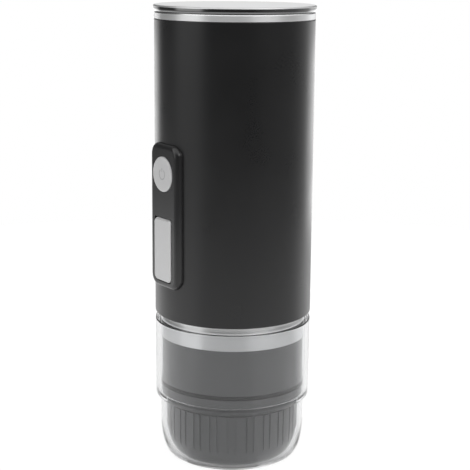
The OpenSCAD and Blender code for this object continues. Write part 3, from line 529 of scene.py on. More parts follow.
@dataclass(frozen=True)
class Finish:
    """A surface finish: a colour that varies by mottle, a roughness, and a fine bump.

    Grain and depth are the bump's size and height, and patch is the size of the mottling, in millimetres.
    The two swings are how far roughness follows the patches and the grain.
    """

    name: str
    colour: Colour
    rough: float
    mottle: float = 0.06
    grain: float = 0.35
    depth: float = 0.01
    patch: float = 20.0
    patch_swing: float = 0.12
    grain_swing: float = 0.08

    def material(self) -> bpy.types.Material:
        """The finish's material, made the first time it is asked for."""
        name = f"{self.name}_finish"
        known = bpy.data.materials.get(name)
        if known is not None:
            return known
        made = bpy.data.materials.new(name)
        bench = Bench.of(made)
        made.diffuse_color = (*self.colour, 1.0)
        shader = bench.add("ShaderNodeBsdfPrincipled", {}, self.sockets(bench))
        bench.node("ShaderNodeOutputMaterial", {}, {"Surface": shader})
        return made

    def toned(self, bench: Bench, mask: Wire, by: float) -> Wire:
        """The finish's colour, from darker by a share to lighter by it as the mask goes from 0 to 1."""
        return bench.blend(mask, scaled(self.colour, 1 - by), scaled(self.colour, 1 + by))

    def sockets(self, bench: Bench) -> Sockets:
        """Values and wires of the shader's sockets; each kind of finish gives its own."""
        point = bench.place()
        patch = bench.noise(point, 1 / self.patch)
        fine = bench.noise(point, 1 / self.grain, detail=3.0)
        return {
            "Base Color": self.toned(bench, patch, self.mottle),
            "Roughness": self.rough + swing(patch, self.patch_swing) + swing(fine, self.grain_swing),
            "Normal": bench.bump(fine, self.depth),
        }


@dataclass(frozen=True)
class Brushed(Finish):
    """Metal with fine lines that run round the axis, polished above polished_z.

    The coarse lines are line millimetres wide, and the fine ones a third of that. Along them the noise has
    the two frequencies in along. The coarse lines are the share coarse of the tone. Pull and turn are the
    strength and direction of the stretched highlight, and polishing leaves the share polish of the roughness.
    """

    grain_swing: float = 0.25
    line: float = 0.12
    along: Pair = (0.03, 0.12)
    coarse: float = 0.6
    pull: float = 0.7
    turn: float = 0.25
    polished_z: float = 1000.0
    polish: float = 0.4
    soft: float = 0.03

    def sockets(self, bench: Bench) -> Sockets:
        """Noise that hardly changes round the axis and quickly along it gives the brushed lines.

        Above polished_z the lines fade and the metal is polished.
        """
        point = bench.place()
        z = bench.split(point)[2]
        brushed = 1 - bench.step(z, self.polished_z - self.soft, self.polished_z + self.soft)
        wide, narrow = self.along
        lines = bench.noise(bench.stretched(point, (wide, wide, 1 / self.line)), 1.0, detail=4.0)
        fine = bench.noise(bench.stretched(point, (narrow, narrow, 3 / self.line)), 1.0)
        tone = self.coarse * lines + (1 - self.coarse) * fine
        kept = self.polish + (1 - self.polish) * brushed
        return {
            "Base Color": self.toned(bench, tone, 2 * self.mottle),
            "Roughness": (self.rough + swing(tone, self.grain_swing)) * kept,
            "Normal": bench.bump(tone * brushed, self.depth),
            "Metallic": 1.0,
            "Anisotropic": self.pull,
            "Anisotropic Rotation": self.turn,
        }


@dataclass(frozen=True)
class Metal(Finish):
    """Plain satin metal."""

    def sockets(self, bench: Bench) -> Sockets:
        """The plain finish, as metal."""
        return {**super().sockets(bench), "Metallic": 1.0}


@dataclass(frozen=True)
class LidMetal(Finish):
    """Steel that is blasted on top and polished round its edge, outside inner_r and below edge_z. The edge's
    colour is darkened as painted shade, standing for the dark surroundings that the polished edge reflects.
    """

    patch: float = 25.0
    grain_swing: float = 0.1
    inner_r: float = 36.0
    edge_z: float = 213.7
    soft: float = 0.1
    # share of the top's colour left on the edge: painted shade for the dark that it reflects
    dark: float = 0.28
    polish: float = 0.1

    def sockets(self, bench: Bench) -> Sockets:
        """The distance from the axis and the height pick the blasted top or the polished edge, whose darker
        colour is painted shade.
        """
        point = bench.place()
        x, y, z = bench.split(point)
        outside = bench.step((x * x + y * y) ** 0.5, self.inner_r, self.inner_r + self.soft)
        edge = outside * (1 - bench.step(z, self.edge_z - self.soft, self.edge_z + self.soft))
        fine = bench.noise(point, 1 / self.grain, detail=3.0)
        top = self.toned(bench, bench.noise(point, 1 / self.patch), self.mottle)
        rough = self.rough + swing(fine, self.grain_swing)
        return {
            # painted shade: the polished edge's colour is darkened to stand for the dark that it reflects
            "Base Color": bench.blend(edge, top, scaled(self.colour, self.dark)),
            "Roughness": rough * (1 - edge) + self.polish * edge,
            "Normal": bench.bump(fine * (1 - edge), self.depth),
            "Metallic": 1.0,
        }


@dataclass(frozen=True)
class Clear(Finish):
    """Clear moulded plastic with a faint ripple, clouded a little where the ripple is over clear_below."""

    index: float = 1.5
    cloud: float = 0.02
    clear_below: float = 0.4

    def sockets(self, bench: Bench) -> Sockets:
        """A very shallow bump over centimetres gives the ripple of a moulded wall."""
        point = bench.place()
        ripple = bench.noise(point, 1 / self.grain, detail=1.0)
        return {
            "Base Color": bench.blend(ripple, self.colour, scaled(self.colour, 1 + self.mottle)),
            "Roughness": self.rough + self.cloud * (ripple - self.clear_below).most(0.0),
            "Normal": bench.bump(ripple, self.depth),
            "Transmission Weight": 1.0,
            "IOR": self.index,
        }


@dataclass(frozen=True)
class Flaked(Finish):
    """Silver paint with fine flakes: the noise over flake shows as flakes, lighter by glint."""

    patch: float = 12.5
    patch_swing: float = 0.1
    flake: Pair = (0.45, 0.7)
    show: float = 0.2
    glint: float = 1.35
    metal: float = 0.25

    def sockets(self, bench: Bench) -> Sockets:
        """Small noise lightens single flakes, and wide noise the whole coat."""
        point = bench.place()
        flakes = bench.step(bench.noise(point, 1 / self.grain, detail=1.0), *self.flake)
        patch = bench.noise(point, 1 / self.patch)
        coat = self.toned(bench, patch, self.mottle)
        return {
            "Base Color": bench.blend(self.show * flakes, coat, scaled(self.colour, self.glint)),
            "Roughness": self.rough + swing(patch, self.patch_swing),
            "Normal": bench.bump(flakes, self.depth),
            "Metallic": self.metal,
        }


@dataclass(frozen=True)
class Wound(Finish):
    """Enamelled wire in close turns round the axis, rougher in the gaps and darker there with painted shade.
    """

    pitch: float = 0.6
    # share of the wire's colour left in the gaps: painted shade between turns
    gap_painted_shade: float = 0.35
    gap_rough: float = 0.1
    metal: float = 0.6

    def sockets(self, bench: Bench) -> Sockets:
        """A sine along the axis gives the turns; between them the colour is darkened as painted shade."""
        z = bench.split(bench.place())[2]
        turns = 0.5 + 0.5 * (z * (2 * math.pi / self.pitch)).sine()
        return {
            # painted shade: the gaps between turns are darkened
            "Base Color": bench.blend(turns, scaled(self.colour, self.gap_painted_shade), self.colour),
            "Roughness": self.rough + self.gap_rough * (1 - turns),
            "Normal": bench.bump(turns, self.depth),
            "Metallic": self.metal,
        }


@dataclass(frozen=True)
class Etched(Finish):
    """Circuit board lacquer over copper tracks, which lie where cells of twice the track's size meet."""

    track: float = 1.6
    stray: float = 0.45
    width: Pair = (0.06, 0.1)
    shine: float = 1.8
    track_rough: float = 0.1

    def sockets(self, bench: Bench) -> Sockets:
        """Cell edges of a loose lattice of noise cells stand for the tracks."""
        settings = {"feature": "DISTANCE_TO_EDGE", "distance": "EUCLIDEAN"}
        sockets = {"Vector": bench.place(), "Scale": 1 / (2 * self.track), "Randomness": self.stray}
        edge = bench.add("ShaderNodeTexVoronoi", settings, sockets, "Distance")
        tracks = 1 - bench.step(edge, *self.width)
        return {
            "Base Color": bench.blend(tracks, self.colour, scaled(self.colour, self.shine)),
            "Roughness": self.rough + self.track_rough * tracks,
            "Normal": bench.bump(tracks, self.depth),
        }


@dataclass(frozen=True)
class Wrapped(Finish):
    """A cell in its shrunk film, with bare steel below low and above high."""

    grain_swing: float = 0.1
    low: float = 79.6
    high: float = 143.4
    soft: float = 0.1
    light: float = 1.15
    steel: Colour = (0.6, 0.6, 0.6)

    def sockets(self, bench: Bench) -> Sockets:
        """The height picks the film or the bare ends."""
        point = bench.place()
        z = bench.split(point)[2]
        below = 1 - bench.step(z, self.low - self.soft, self.low)
        bare = below + bench.step(z, self.high, self.high + self.soft)
        fine = bench.noise(point, 1 / self.grain)
        film = bench.blend(fine, self.colour, scaled(self.colour, self.light))
        return {
            "Base Color": bench.blend(bare, film, self.steel),
            "Roughness": self.rough + swing(fine, self.grain_swing),
            "Metallic": bare,
            "Normal": bench.bump(fine, self.depth),
        }


# Each finish: name, colour, roughness, mottle, grain and depth of the bump. The names are the record's slots.
FINISHES: dict[str, Finish] = {
    finish.name: finish
    for finish in (
        Clear("clear_cup", (0.88, 0.885, 0.89), 0.01, 0.015, 24.0, 0.02),
        Finish("black_sleeve", (0.0105, 0.0105, 0.011), 0.3, 0.08, 0.3, 0.004),
        Brushed("brushed_ring", (0.89, 0.893, 0.896), 0.42, 0.05, depth=0.004, pull=0.9),
        LidMetal("lid_steel", (0.7, 0.703, 0.706), 0.42, 0.02, 0.25, 0.006),
        Brushed("tank_steel", (0.6, 0.6, 0.6), 0.34, 0.05, depth=0.006, line=0.25, pull=0.5),
        Finish("panel_black", (0.017, 0.017, 0.0175), 0.17, 0.08, 0.35, 0.0015),
        Flaked("silver_plastic", (0.6, 0.6, 0.603), 0.42, 0.03, 0.12, 0.004),
        Finish("grey_plastic", (0.141, 0.142, 0.146), 0.38, 0.07, 0.4, 0.01),
        Finish("dark_rubber", (0.018, 0.018, 0.018), 0.62, 0.12, 0.3, 0.015),
        Finish("red_silicone", (0.32, 0.05, 0.035), 0.5, 0.1, 0.3, 0.01),
        Clear("clear_hose", (0.9, 0.89, 0.85), 0.2, 0.05, 2.0, 0.02, index=1.42),
        Finish("frame_plastic", (0.06, 0.061, 0.064), 0.5, 0.1, 0.35, 0.012),
        Metal("small_steel", (0.56, 0.565, 0.57), 0.32, 0.06, 0.3, 0.006),
        Metal("heater_alloy", (0.62, 0.625, 0.63), 0.5, 0.08, 0.5, 0.02),
        Metal("nut_brass", (0.62, 0.45, 0.17), 0.36, 0.08, 0.3, 0.008),
        Wrapped("cell_wrap", (0.05, 0.16, 0.28), 0.32, grain=0.6, depth=0.004),
        Etched("board_green", (0.012, 0.075, 0.032), 0.35, depth=0.02),
        Finish("chip_black", (0.022, 0.022, 0.023), 0.55, 0.1, 0.2, 0.006),
        Wound("coil_copper", (0.5, 0.2, 0.09), 0.36, depth=0.12),
        Finish("foam", (0.27, 0.275, 0.28), 0.9, 0.15, 0.9, 0.12),
    )
}

# Looks of single pieces that differ from their slot's: the top band, the button's sign and the hinge pin
COARSE = Brushed(
    "coarse_brushed", (0.78, 0.783, 0.786), 0.42, 0.06, depth=0.004, line=0.16, pull=0.95, polished_z=210.9
)
FAINT = Flaked("faint_silver", (0.43, 0.43, 0.435), 0.45, 0.03, 0.12, 0.004)
BLACKENED = Metal("blackened_steel", (0.05, 0.05, 0.052), 0.45, 0.1, 0.3, 0.006)


def dress(piece: bpy.types.Object, slot: str) -> None:
    """Gives a piece the finish of one of the record's material slots."""
    piece.data.materials.clear()
    piece.data.materials.append(FINISHES[slot].material())


# Sub-assemblies


@dataclass
class Assembly:
    """What every sub-assembly can do: put a built mesh into the frame."""

    def fit(self, piece: bpy.types.Object, body: Body, slot: str, *nodes: str) -> bpy.types.Object:
        """Dresses a piece, lets it ride on a body and stand for CAD nodes.

        Args:
            piece: The built object.
            body: The body that carries it.
            slot: The record's material slot.
            nodes: The CAD nodes that it stands for.

        Returns:
            The same object.
        """
        dress(piece, slot)
        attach(piece, body.value)
        if nodes:
            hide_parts(*nodes)
        log.info("%s rides on %s, %d faces", piece.name, body.value, len(piece.data.polygons))
        return piece


@dataclass
class Inside(Assembly):
    """The CAD nodes, which are shown with their own meshes unless a new piece stands for them."""

    def build(self) -> None:
        """Gives each CAD node the finish of its slot in the record."""
        for part in frame["record"]["subparts"]:
            node, slot = part["node"], part["material_slot"]
            dress(frame["nodes"][node], slot)
            log.info("%s has the finish %s", node, slot)
        frame["nodes"]["cover_hinge_pin"].data.materials[0] = BLACKENED.material()


@dataclass
class Cup(Assembly):
    """The clear cup: a wide upper part, a step, and a lower part with an elliptical corner."""

    height: float = 67.4
    rim_r: float = 36.95
    draft: float = 0.2
    wall: float = 2.4
    floor: float = 1.5
    step_z: float = 29.4
    step: float = 2.1
    step_hollow: float = 0.6
    step_round: float = 1.0
    corner_w: float = 5.4
    corner_h: float = 17.0
    ledge_drop: float = 0.05
    ledge_round: float = 0.4
    lip: float = 0.5

    def build(self) -> None:
        """Turns the cup's wall: outside from the axis to the rim, then back down the inside."""
        upper = self.rim_r - self.draft
        lower = upper - self.step
        foot = lower - self.draft
        inner, low_inner = upper - self.wall, foot - self.wall
        ledge = self.step_z + self.wall - self.ledge_drop
        lip, hollow, swell, soft = self.lip, self.step_hollow, self.step_round, self.ledge_round
        w, h = self.corner_w, self.corner_h
        ring = outline(
            (0.0, 0.0),
            arc(foot - w, h, w, h, 270, 360, 28),
            bend(lower + hollow, self.step_z - hollow, hollow, 180, 90, 5),
            bend(upper - swell, self.step_z + swell, swell, 270, 360, 6),
            bend(self.rim_r - lip, self.height - lip, lip, 0, 90, 8),
            bend(inner + lip, self.height - lip, lip, 90, 180, 8),
            bend(inner - soft, ledge + soft, soft, 0, -90, 5),
            bend(low_inner + soft, ledge - soft, soft, 90, 180, 5),
            arc(low_inner - w, h, w, h - self.floor, 360, 270, 28),
            (0.0, self.floor),
        )
        self.fit(turned(ring).to_object("cup_shell"), Body.CUP, "clear_cup", "cup")


@dataclass
class Bands(Assembly):
    """The two brushed rings at the ends of the sleeve."""

    body_r: float = 37.0
    spigot_r: float = 35.7
    spigot: float = 4.0
    neck_r: float = 33.65
    neck_inner: float = 32.45
    neck_z: float = 59.5
    neck_edge: float = 0.2
    neck_hollow: float = 0.3
    sleeve_z: float = 70.9
    lip_r: float = 30.35
    lip_z: Pair = (71.4, 72.6)
    top_z: Pair = (208.3, 211.4)
    top_edge: float = 0.15
    bevel: Pair = (0.3, 0.5)
    seat_r: float = 34.7
    seat_z: float = 209.6
    bore_r: float = 33.0
    top_sharp: float = 20.0

    def build(self) -> None:
        """Turns both rings, with a fine bevel on the upper one."""
        self.fit(turned(self.low()).to_object("lower_band"), Body.HOUSING, "brushed_ring", "bottom_ring")
        band = turned(self.top()).to_object("upper_band", self.top_sharp)
        self.fit(band, Body.HOUSING, "brushed_ring", "top_ring")
        band.data.materials[0] = COARSE.material()

    def low(self) -> np.ndarray:
        """The lower ring's outline: the neck in the cup, the spigot in the sleeve and the lip inside."""
        e, h = self.neck_edge, self.neck_hollow
        lip0, lip1 = self.lip_z
        spigot_z = self.sleeve_z + self.spigot
        return outline(
            (self.neck_inner, self.neck_z),
            bend(self.neck_r - e, self.neck_z + e, e, 270, 360, 4),
            bend(self.neck_r + h, self.sleeve_z - h, h, 180, 90, 4),
            (self.spigot_r, self.sleeve_z),
            (self.spigot_r, spigot_z),
            (self.neck_inner, spigot_z),
            (self.neck_inner, lip1),
            (self.lip_r, lip1),
            (self.lip_r, lip0),
            (self.neck_inner, lip0),
        )

    def top(self) -> np.ndarray:
        """The upper ring's outline: the spigot in the sleeve, the band and the tank's seat."""
        z0, z1 = self.top_z
        e, (bevel_w, bevel_h) = self.top_edge, self.bevel
        return outline(
            (self.bore_r, z0 - self.spigot),
            (self.spigot_r, z0 - self.spigot),
            (self.spigot_r, z0),
            bend(self.body_r - e, z0 + e, e, 270, 360, 4),
            (self.body_r, z1 - bevel_h),
            (self.body_r - bevel_w, z1),
            (self.seat_r, z1),
            (self.seat_r, self.seat_z),
            (self.bore_r, self.seat_z),
        )


@dataclass
class Lid(Assembly):
    """The flat lid with its rounded polished edge, and the seal round its plug."""

    rim_r: float = 37.4
    foot_r: float = 36.7
    under_r: float = 35.4
    z0: float = 211.6
    z1: float = 214.5
    slant: float = 1.2
    wall: float = 0.9
    edge: float = 0.8
    seal_r: float = 30.8
    seal_z: float = 206.2
    seal_d: float = 2.2

    def build(self) -> None:
        """Turns the cap, with its swelling upright edge, and the round seal."""
        cap = outline(
            (0.0, self.z1 - self.wall),
            (self.under_r, self.z1 - self.wall),
            (self.under_r, self.z0),
            arc(self.foot_r, self.z0 + self.slant, self.rim_r - self.foot_r, self.slant, 275, 350, 10),
            bend(self.rim_r - self.edge, self.z1 - self.edge, self.edge, 8, 90, 10),
            (0.0, self.z1),
        )
        self.fit(turned(cap).to_object("lid_top"), Body.LID, "lid_steel", "lid_cap")
        seal = turned(round_section(self.seal_r, self.seal_z, self.seal_d), 160)
        self.fit(seal.to_object("plug_seal"), Body.LID, "dark_rubber", "lid_seal")


@dataclass
class Sleeve(Assembly):
    """The black tube, with the window that the control panel sits in."""

    radius: float = 37.0
    inner: float = 35.8
    z0: float = 70.9
    z1: float = 208.3
    edge: float = 0.5
    window: RoundedPath = field(default_factory=lambda: RoundedPath(18.6, 62.9, 3.4))
    window_z: float = 119.6
    window_y: Pair = (20.0, 45.0)

    def build(self) -> None:
        """Turns the tube and cuts the window through its front."""
        e = self.edge
        ring = outline(
            (self.inner, self.z0),
            bend(self.radius - e, self.z0 + e, e, 270, 360, 6),
            bend(self.radius - e, self.z1 - e, e, 0, 90, 6),
            (self.inner, self.z1),
        )
        tube = turned(ring).to_object("sleeve")
        carved(tube, self.window, *self.window_y, self.window_z)
        self.fit(tube, Body.HOUSING, "black_sleeve", "body_sleeve")


@dataclass
class Panel(Assembly):
    """The raised control panel with its round button and the hinged port cover."""

    z: float = 119.6
    width: float = 22.8
    height: float = 67.1
    corner: float = 5.5
    edge: float = 2.25
    edge_steps: int = 12
    face: float = 38.8
    back: float = 33.6
    back_brace: float = 0.3
    sleeve_r: float = 37.05
    border: float = 2.2
    over: float = 1.0
    button_z: float = 139.3
    button_r: float = 8.05
    button_face: float = 39.3
    button_back: float = 36.7
    button_edge: float = 0.45
    bore_gap: float = 0.15
    tab: RoundedPath = field(default_factory=lambda: RoundedPath(11.0, 18.3, 0.8))
    tab_back: float = 35.3
    tab_edge: float = 0.2
    tab_room: Triple = (0.4, 0.66, 0.1)
    cover_z: float = 104.25
    cover: RoundedPath = field(default_factory=lambda: RoundedPath(14.1, 29.3, 2.5))
    cover_t: float = 2.2
    cover_edge: float = 0.35
    floor: float = 37.0
    gap: float = 0.1
    hinge_gap: float = 0.2
    hinge_corner: float = 0.15
    nail_gap: float = 0.6
    socket: RoundedPath = field(default_factory=lambda: RoundedPath(3.7, 9.5, 1.2, 6, 2))
    sign_r: float = 2.3
    sign_w: float = 0.55
    sign_open: float = 35.0
    sign_stroke: Pair = (0.5, 1.25)
    sign_sunk: float = 0.05
    sign_proud: float = 0.04

    def build(self) -> None:
        """Builds the panel, the button with its sign, and the port cover."""
        self.plate()
        self.button()
        self.port_cover()

    def plate(self) -> None:
        """Carries the panel's edge round its outline and cuts its holes.

        The profile starts at the plug in the sleeve's window, runs out along the sleeve, whose surface
        lies sqrt(R^2 - x^2) in front of the axis, up the side and over the quarter-round front edge. Where
        the sleeve stands higher than the foot of the quarter round, the round starts at the sleeve.
        """
        path = RoundedPath(self.width, self.height, self.corner)
        centre, way = path.walk()

        def on_sleeve(inset: float) -> np.ndarray:
            """How far out the sleeve lies under each point of the outline."""
            x = (centre + (path.corner - inset) * way)[:, :1]
            return np.sqrt(self.sleeve_r**2 - x**2)

        low = self.face - self.edge
        start = np.arcsin(np.clip((on_sleeve(0.0) - low) / self.edge, 0, 1))
        a = start + (np.pi / 2 - start) * np.linspace(0, 1, self.edge_steps + 1)
        curve, rise = self.edge * (1 - np.cos(a)), low + self.edge * np.sin(a)
        ones = np.ones((len(centre), 1))
        border, back, foot = ones * self.border, ones * self.back, np.minimum(on_sleeve(0.0), rise[:, :1])
        flat = ones * (self.edge + BRACE)
        inset = np.concatenate([border + self.back_brace, border, border, curve[:, :1], curve, flat], axis=1)
        depth = np.concatenate([back, back, on_sleeve(self.border), foot, rise, ones * self.face], axis=1)
        plate = rimmed(path, inset, depth).to_front(self.z).to_object("panel_plate")
        self._holes(plate)
        self.fit(plate, Body.HOUSING, "panel_black", "control_panel")

    def _holes(self, plate: bpy.types.Object) -> None:
        """Cuts the button's bore, its tab's slot, the port cover's recess and the socket's slot.

        The bore is a square whose round corners all but meet. The recess has square corners at the hinge.
        """
        behind, front = self.back - self.over, self.face + self.over
        bore = self.button_r + self.bore_gap
        carved(plate, RoundedPath(2 * bore, 2 * bore, bore - 0.001, 24, 2), behind, front, self.button_z)
        side, end, room = self.tab_room
        tab_slot = RoundedPath(self.tab.width + side, self.tab.height + end, self.tab.corner, 4, 2)
        carved(plate, tab_slot, behind, self.button_back + room, self.button_z)
        wide, high = self.cover.width + 2 * self.gap, self.cover.height + self.hinge_gap + self.nail_gap
        top = self.cover_z + self.cover.height / 2 + self.hinge_gap
        corner = self.cover.corner
        carved(plate, RoundedPath(wide, high, corner), self.floor, front, top - high / 2)
        hinge_end = RoundedPath(wide, 2 * corner, self.hinge_corner, 3, 2)
        carved(plate, hinge_end, self.floor, front, top - corner)
        carved(plate, self.socket, behind, self.floor + self.over / 2, self.cover_z)

    def button(self) -> None:
        """Turns the button's disc about its own axis, with the tab bar behind it and a thin raised sign."""
        r, front, e = self.button_r, self.button_face, self.button_edge
        ring = outline(
            (0.0, self.button_back),
            (r, self.button_back),
            bend(r - e, front - e, e, 0, 90, 6),
            (0.0, front),
        )
        bar = slab(self.tab, self.tab_back, self.button_back, self.tab_edge, 2)
        disc = (turned(ring, 128) + bar).to_front(self.button_z)
        self.fit(disc.to_object("button_disc"), Body.BUTTON, "silver_plastic", "power_button")
        sign = self.sign().to_front(self.button_z).to_object("button_sign")
        self.fit(sign, Body.BUTTON, "silver_plastic")
        sign.data.materials[0] = FAINT.material()

    def sign(self) -> Surface:
        """The open circle and the stroke of the usual power sign, about a tenth of a millimetre thick.

        A flat rectangle of the sign's width and thickness is carried along an arc that is open at its
        top, and another along the stroke: point (i, j) is path point i plus the rectangle's corner j across
        it.

        Returns:
            The sign, facing its own z.
        """
        a = np.radians(np.linspace(90 + self.sign_open, 450 - self.sign_open, 49))
        spoke = np.stack([np.cos(a), np.sin(a)], axis=1)
        stroke = np.stack([np.zeros(2), np.array(self.sign_stroke) * self.sign_r], axis=1)
        return self._ribbon(spoke * self.sign_r, spoke) + self._ribbon(stroke, np.array([[1.0, 0.0]] * 2))

    def _ribbon(self, path: np.ndarray, across: np.ndarray) -> Surface:
        """A flat bar along a path, given the direction across it at each point.

        Args:
            path: Points (x, y) along the bar.
            across: A unit vector for each of them.

        Returns:
            The bar, closed at both ends.
        """
        half = self.sign_w / 2
        low, high = self.button_face - self.sign_sunk, self.button_face + self.sign_proud
        side = np.array([half, -half, -half, half])[:, None, None]
        flat = path + side * across
        z = np.broadcast_to(np.array([low, low, high, high])[:, None, None], (4, len(path), 1))
        return capped(np.concatenate([flat, z], axis=-1))

    def port_cover(self) -> None:
        """Makes the cover a slab with a full-round edge at the hinge and a fine one everywhere else.

        The edge's radius grows from cover_edge to half the thickness over the top corners, by the smooth
        step t t (3 - 2 t) of the height t in those corners.
        """
        centre, way = self.cover.walk()
        corner, half = self.cover.corner, self.cover_t / 2
        y = (centre + corner * way)[:, 1:]
        t = np.clip((y - (self.cover.height / 2 - corner)) / corner, 0, 1)
        edge = self.cover_edge + (half - self.cover_edge) * t * t * (3 - 2 * t)
        front = self.button_face
        cover = slab(self.cover, front - self.cover_t, front, edge, 6).to_front(self.cover_z)
        self.fit(cover.to_object("port_flap"), Body.PORT_COVER, "silver_plastic", "port_cover")


@dataclass
class BrewUnit(Assembly):
    """The round seal on the collar; the brew head and the holder keep their CAD meshes."""

    seal_r: float = 33.1
    seal_z: float = 36.8
    seal_d: float = 2.3

    def build(self) -> None:
        """Turns the seal."""
        seal = turned(round_section(self.seal_r, self.seal_z, self.seal_d))
        self.fit(seal.to_object("collar_seal"), Body.HOUSING, "dark_rubber", "cup_seal")


@dataclass
class Springs(Assembly):
    """The two coil springs in the pump, each between the housing and the piece that it pushes."""

    plunger_wire: float = 0.9
    plunger_turns: float = 6.5
    valve_wire: float = 0.5
    valve_turns: float = 3.5
    curl_steps: int = 24
    wire_steps: int = 12
    sharp: float = 60.0

    def build(self) -> None:
        """Winds both springs where the CAD has them."""
        self.wind("plunger_coil", "plunger_spring", Body.PLUNGER, self.plunger_wire, self.plunger_turns)
        self.wind("valve_coil", "valve_spring", Body.VALVE, self.valve_wire, self.valve_turns)

    def wind(self, name: str, node: str, body: Body, wire: float, turns: float) -> None:
        """Carries a round wire along a helix that fills a node's box.

        At the angle a the helix is at (r cos a, r sin a), rising by p for each radian. The wire's point b
        lies w cos b outwards and w sin b along (p sin a, -p cos a, r) / sqrt(r^2 + p^2) from there.

        Args:
            name: The piece's name.
            node: The CAD node that it stands for.
            body: The body at its upper end.
            wire: The wire's diameter.
            turns: The number of curls.
        """
        low, high = (np.array(corner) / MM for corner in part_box(node))
        w = wire / 2
        r, z0, z1 = high[0] - w, low[2] + w, high[2] - w
        a = np.linspace(0, 2 * np.pi * turns, round(self.curl_steps * turns) + 1)
        p = (z1 - z0) / a[-1]
        out = np.stack([np.cos(a), np.sin(a), 0 * a], axis=1)
        up = np.stack([p * np.sin(a), -p * np.cos(a), r + 0 * a], axis=1) / math.hypot(r, p)
        line = out * r + np.stack([0 * a, 0 * a, z0 + p * a], axis=1)
        b = np.linspace(2 * np.pi, 0, self.wire_steps, endpoint=False)[:, None, None]
        coil = capped(line + w * (np.cos(b) * out + np.sin(b) * up)).to_object(name, self.sharp)
        dress(coil, "small_steel")
        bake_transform(coil)
        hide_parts(node)
        faces = len(coil.data.polygons)
        log.info("%s gives between %s and %s, %d faces", name, Body.HOUSING.value, body.value, faces)


# Studio


@dataclass(frozen=True)
class Span:
    """A stretch of bearings or heights with soft ends, and how bright the light in it is."""

    low: float
    high: float
    soft: float = 0.025
    level: float = 1.0

    def mask(self, bench: Bench, value: Wire) -> Wire:
        """1 between the two ends and 0 outside."""
        inside = 1 - bench.step(value, self.high - self.soft, self.high + self.soft)
        return bench.step(value, self.low - self.soft, self.low + self.soft) * inside

    def light(self, bench: Bench, value: Wire) -> Wire:
        """The level between the two ends and 0 outside."""
        return self.level * self.mask(bench, value)


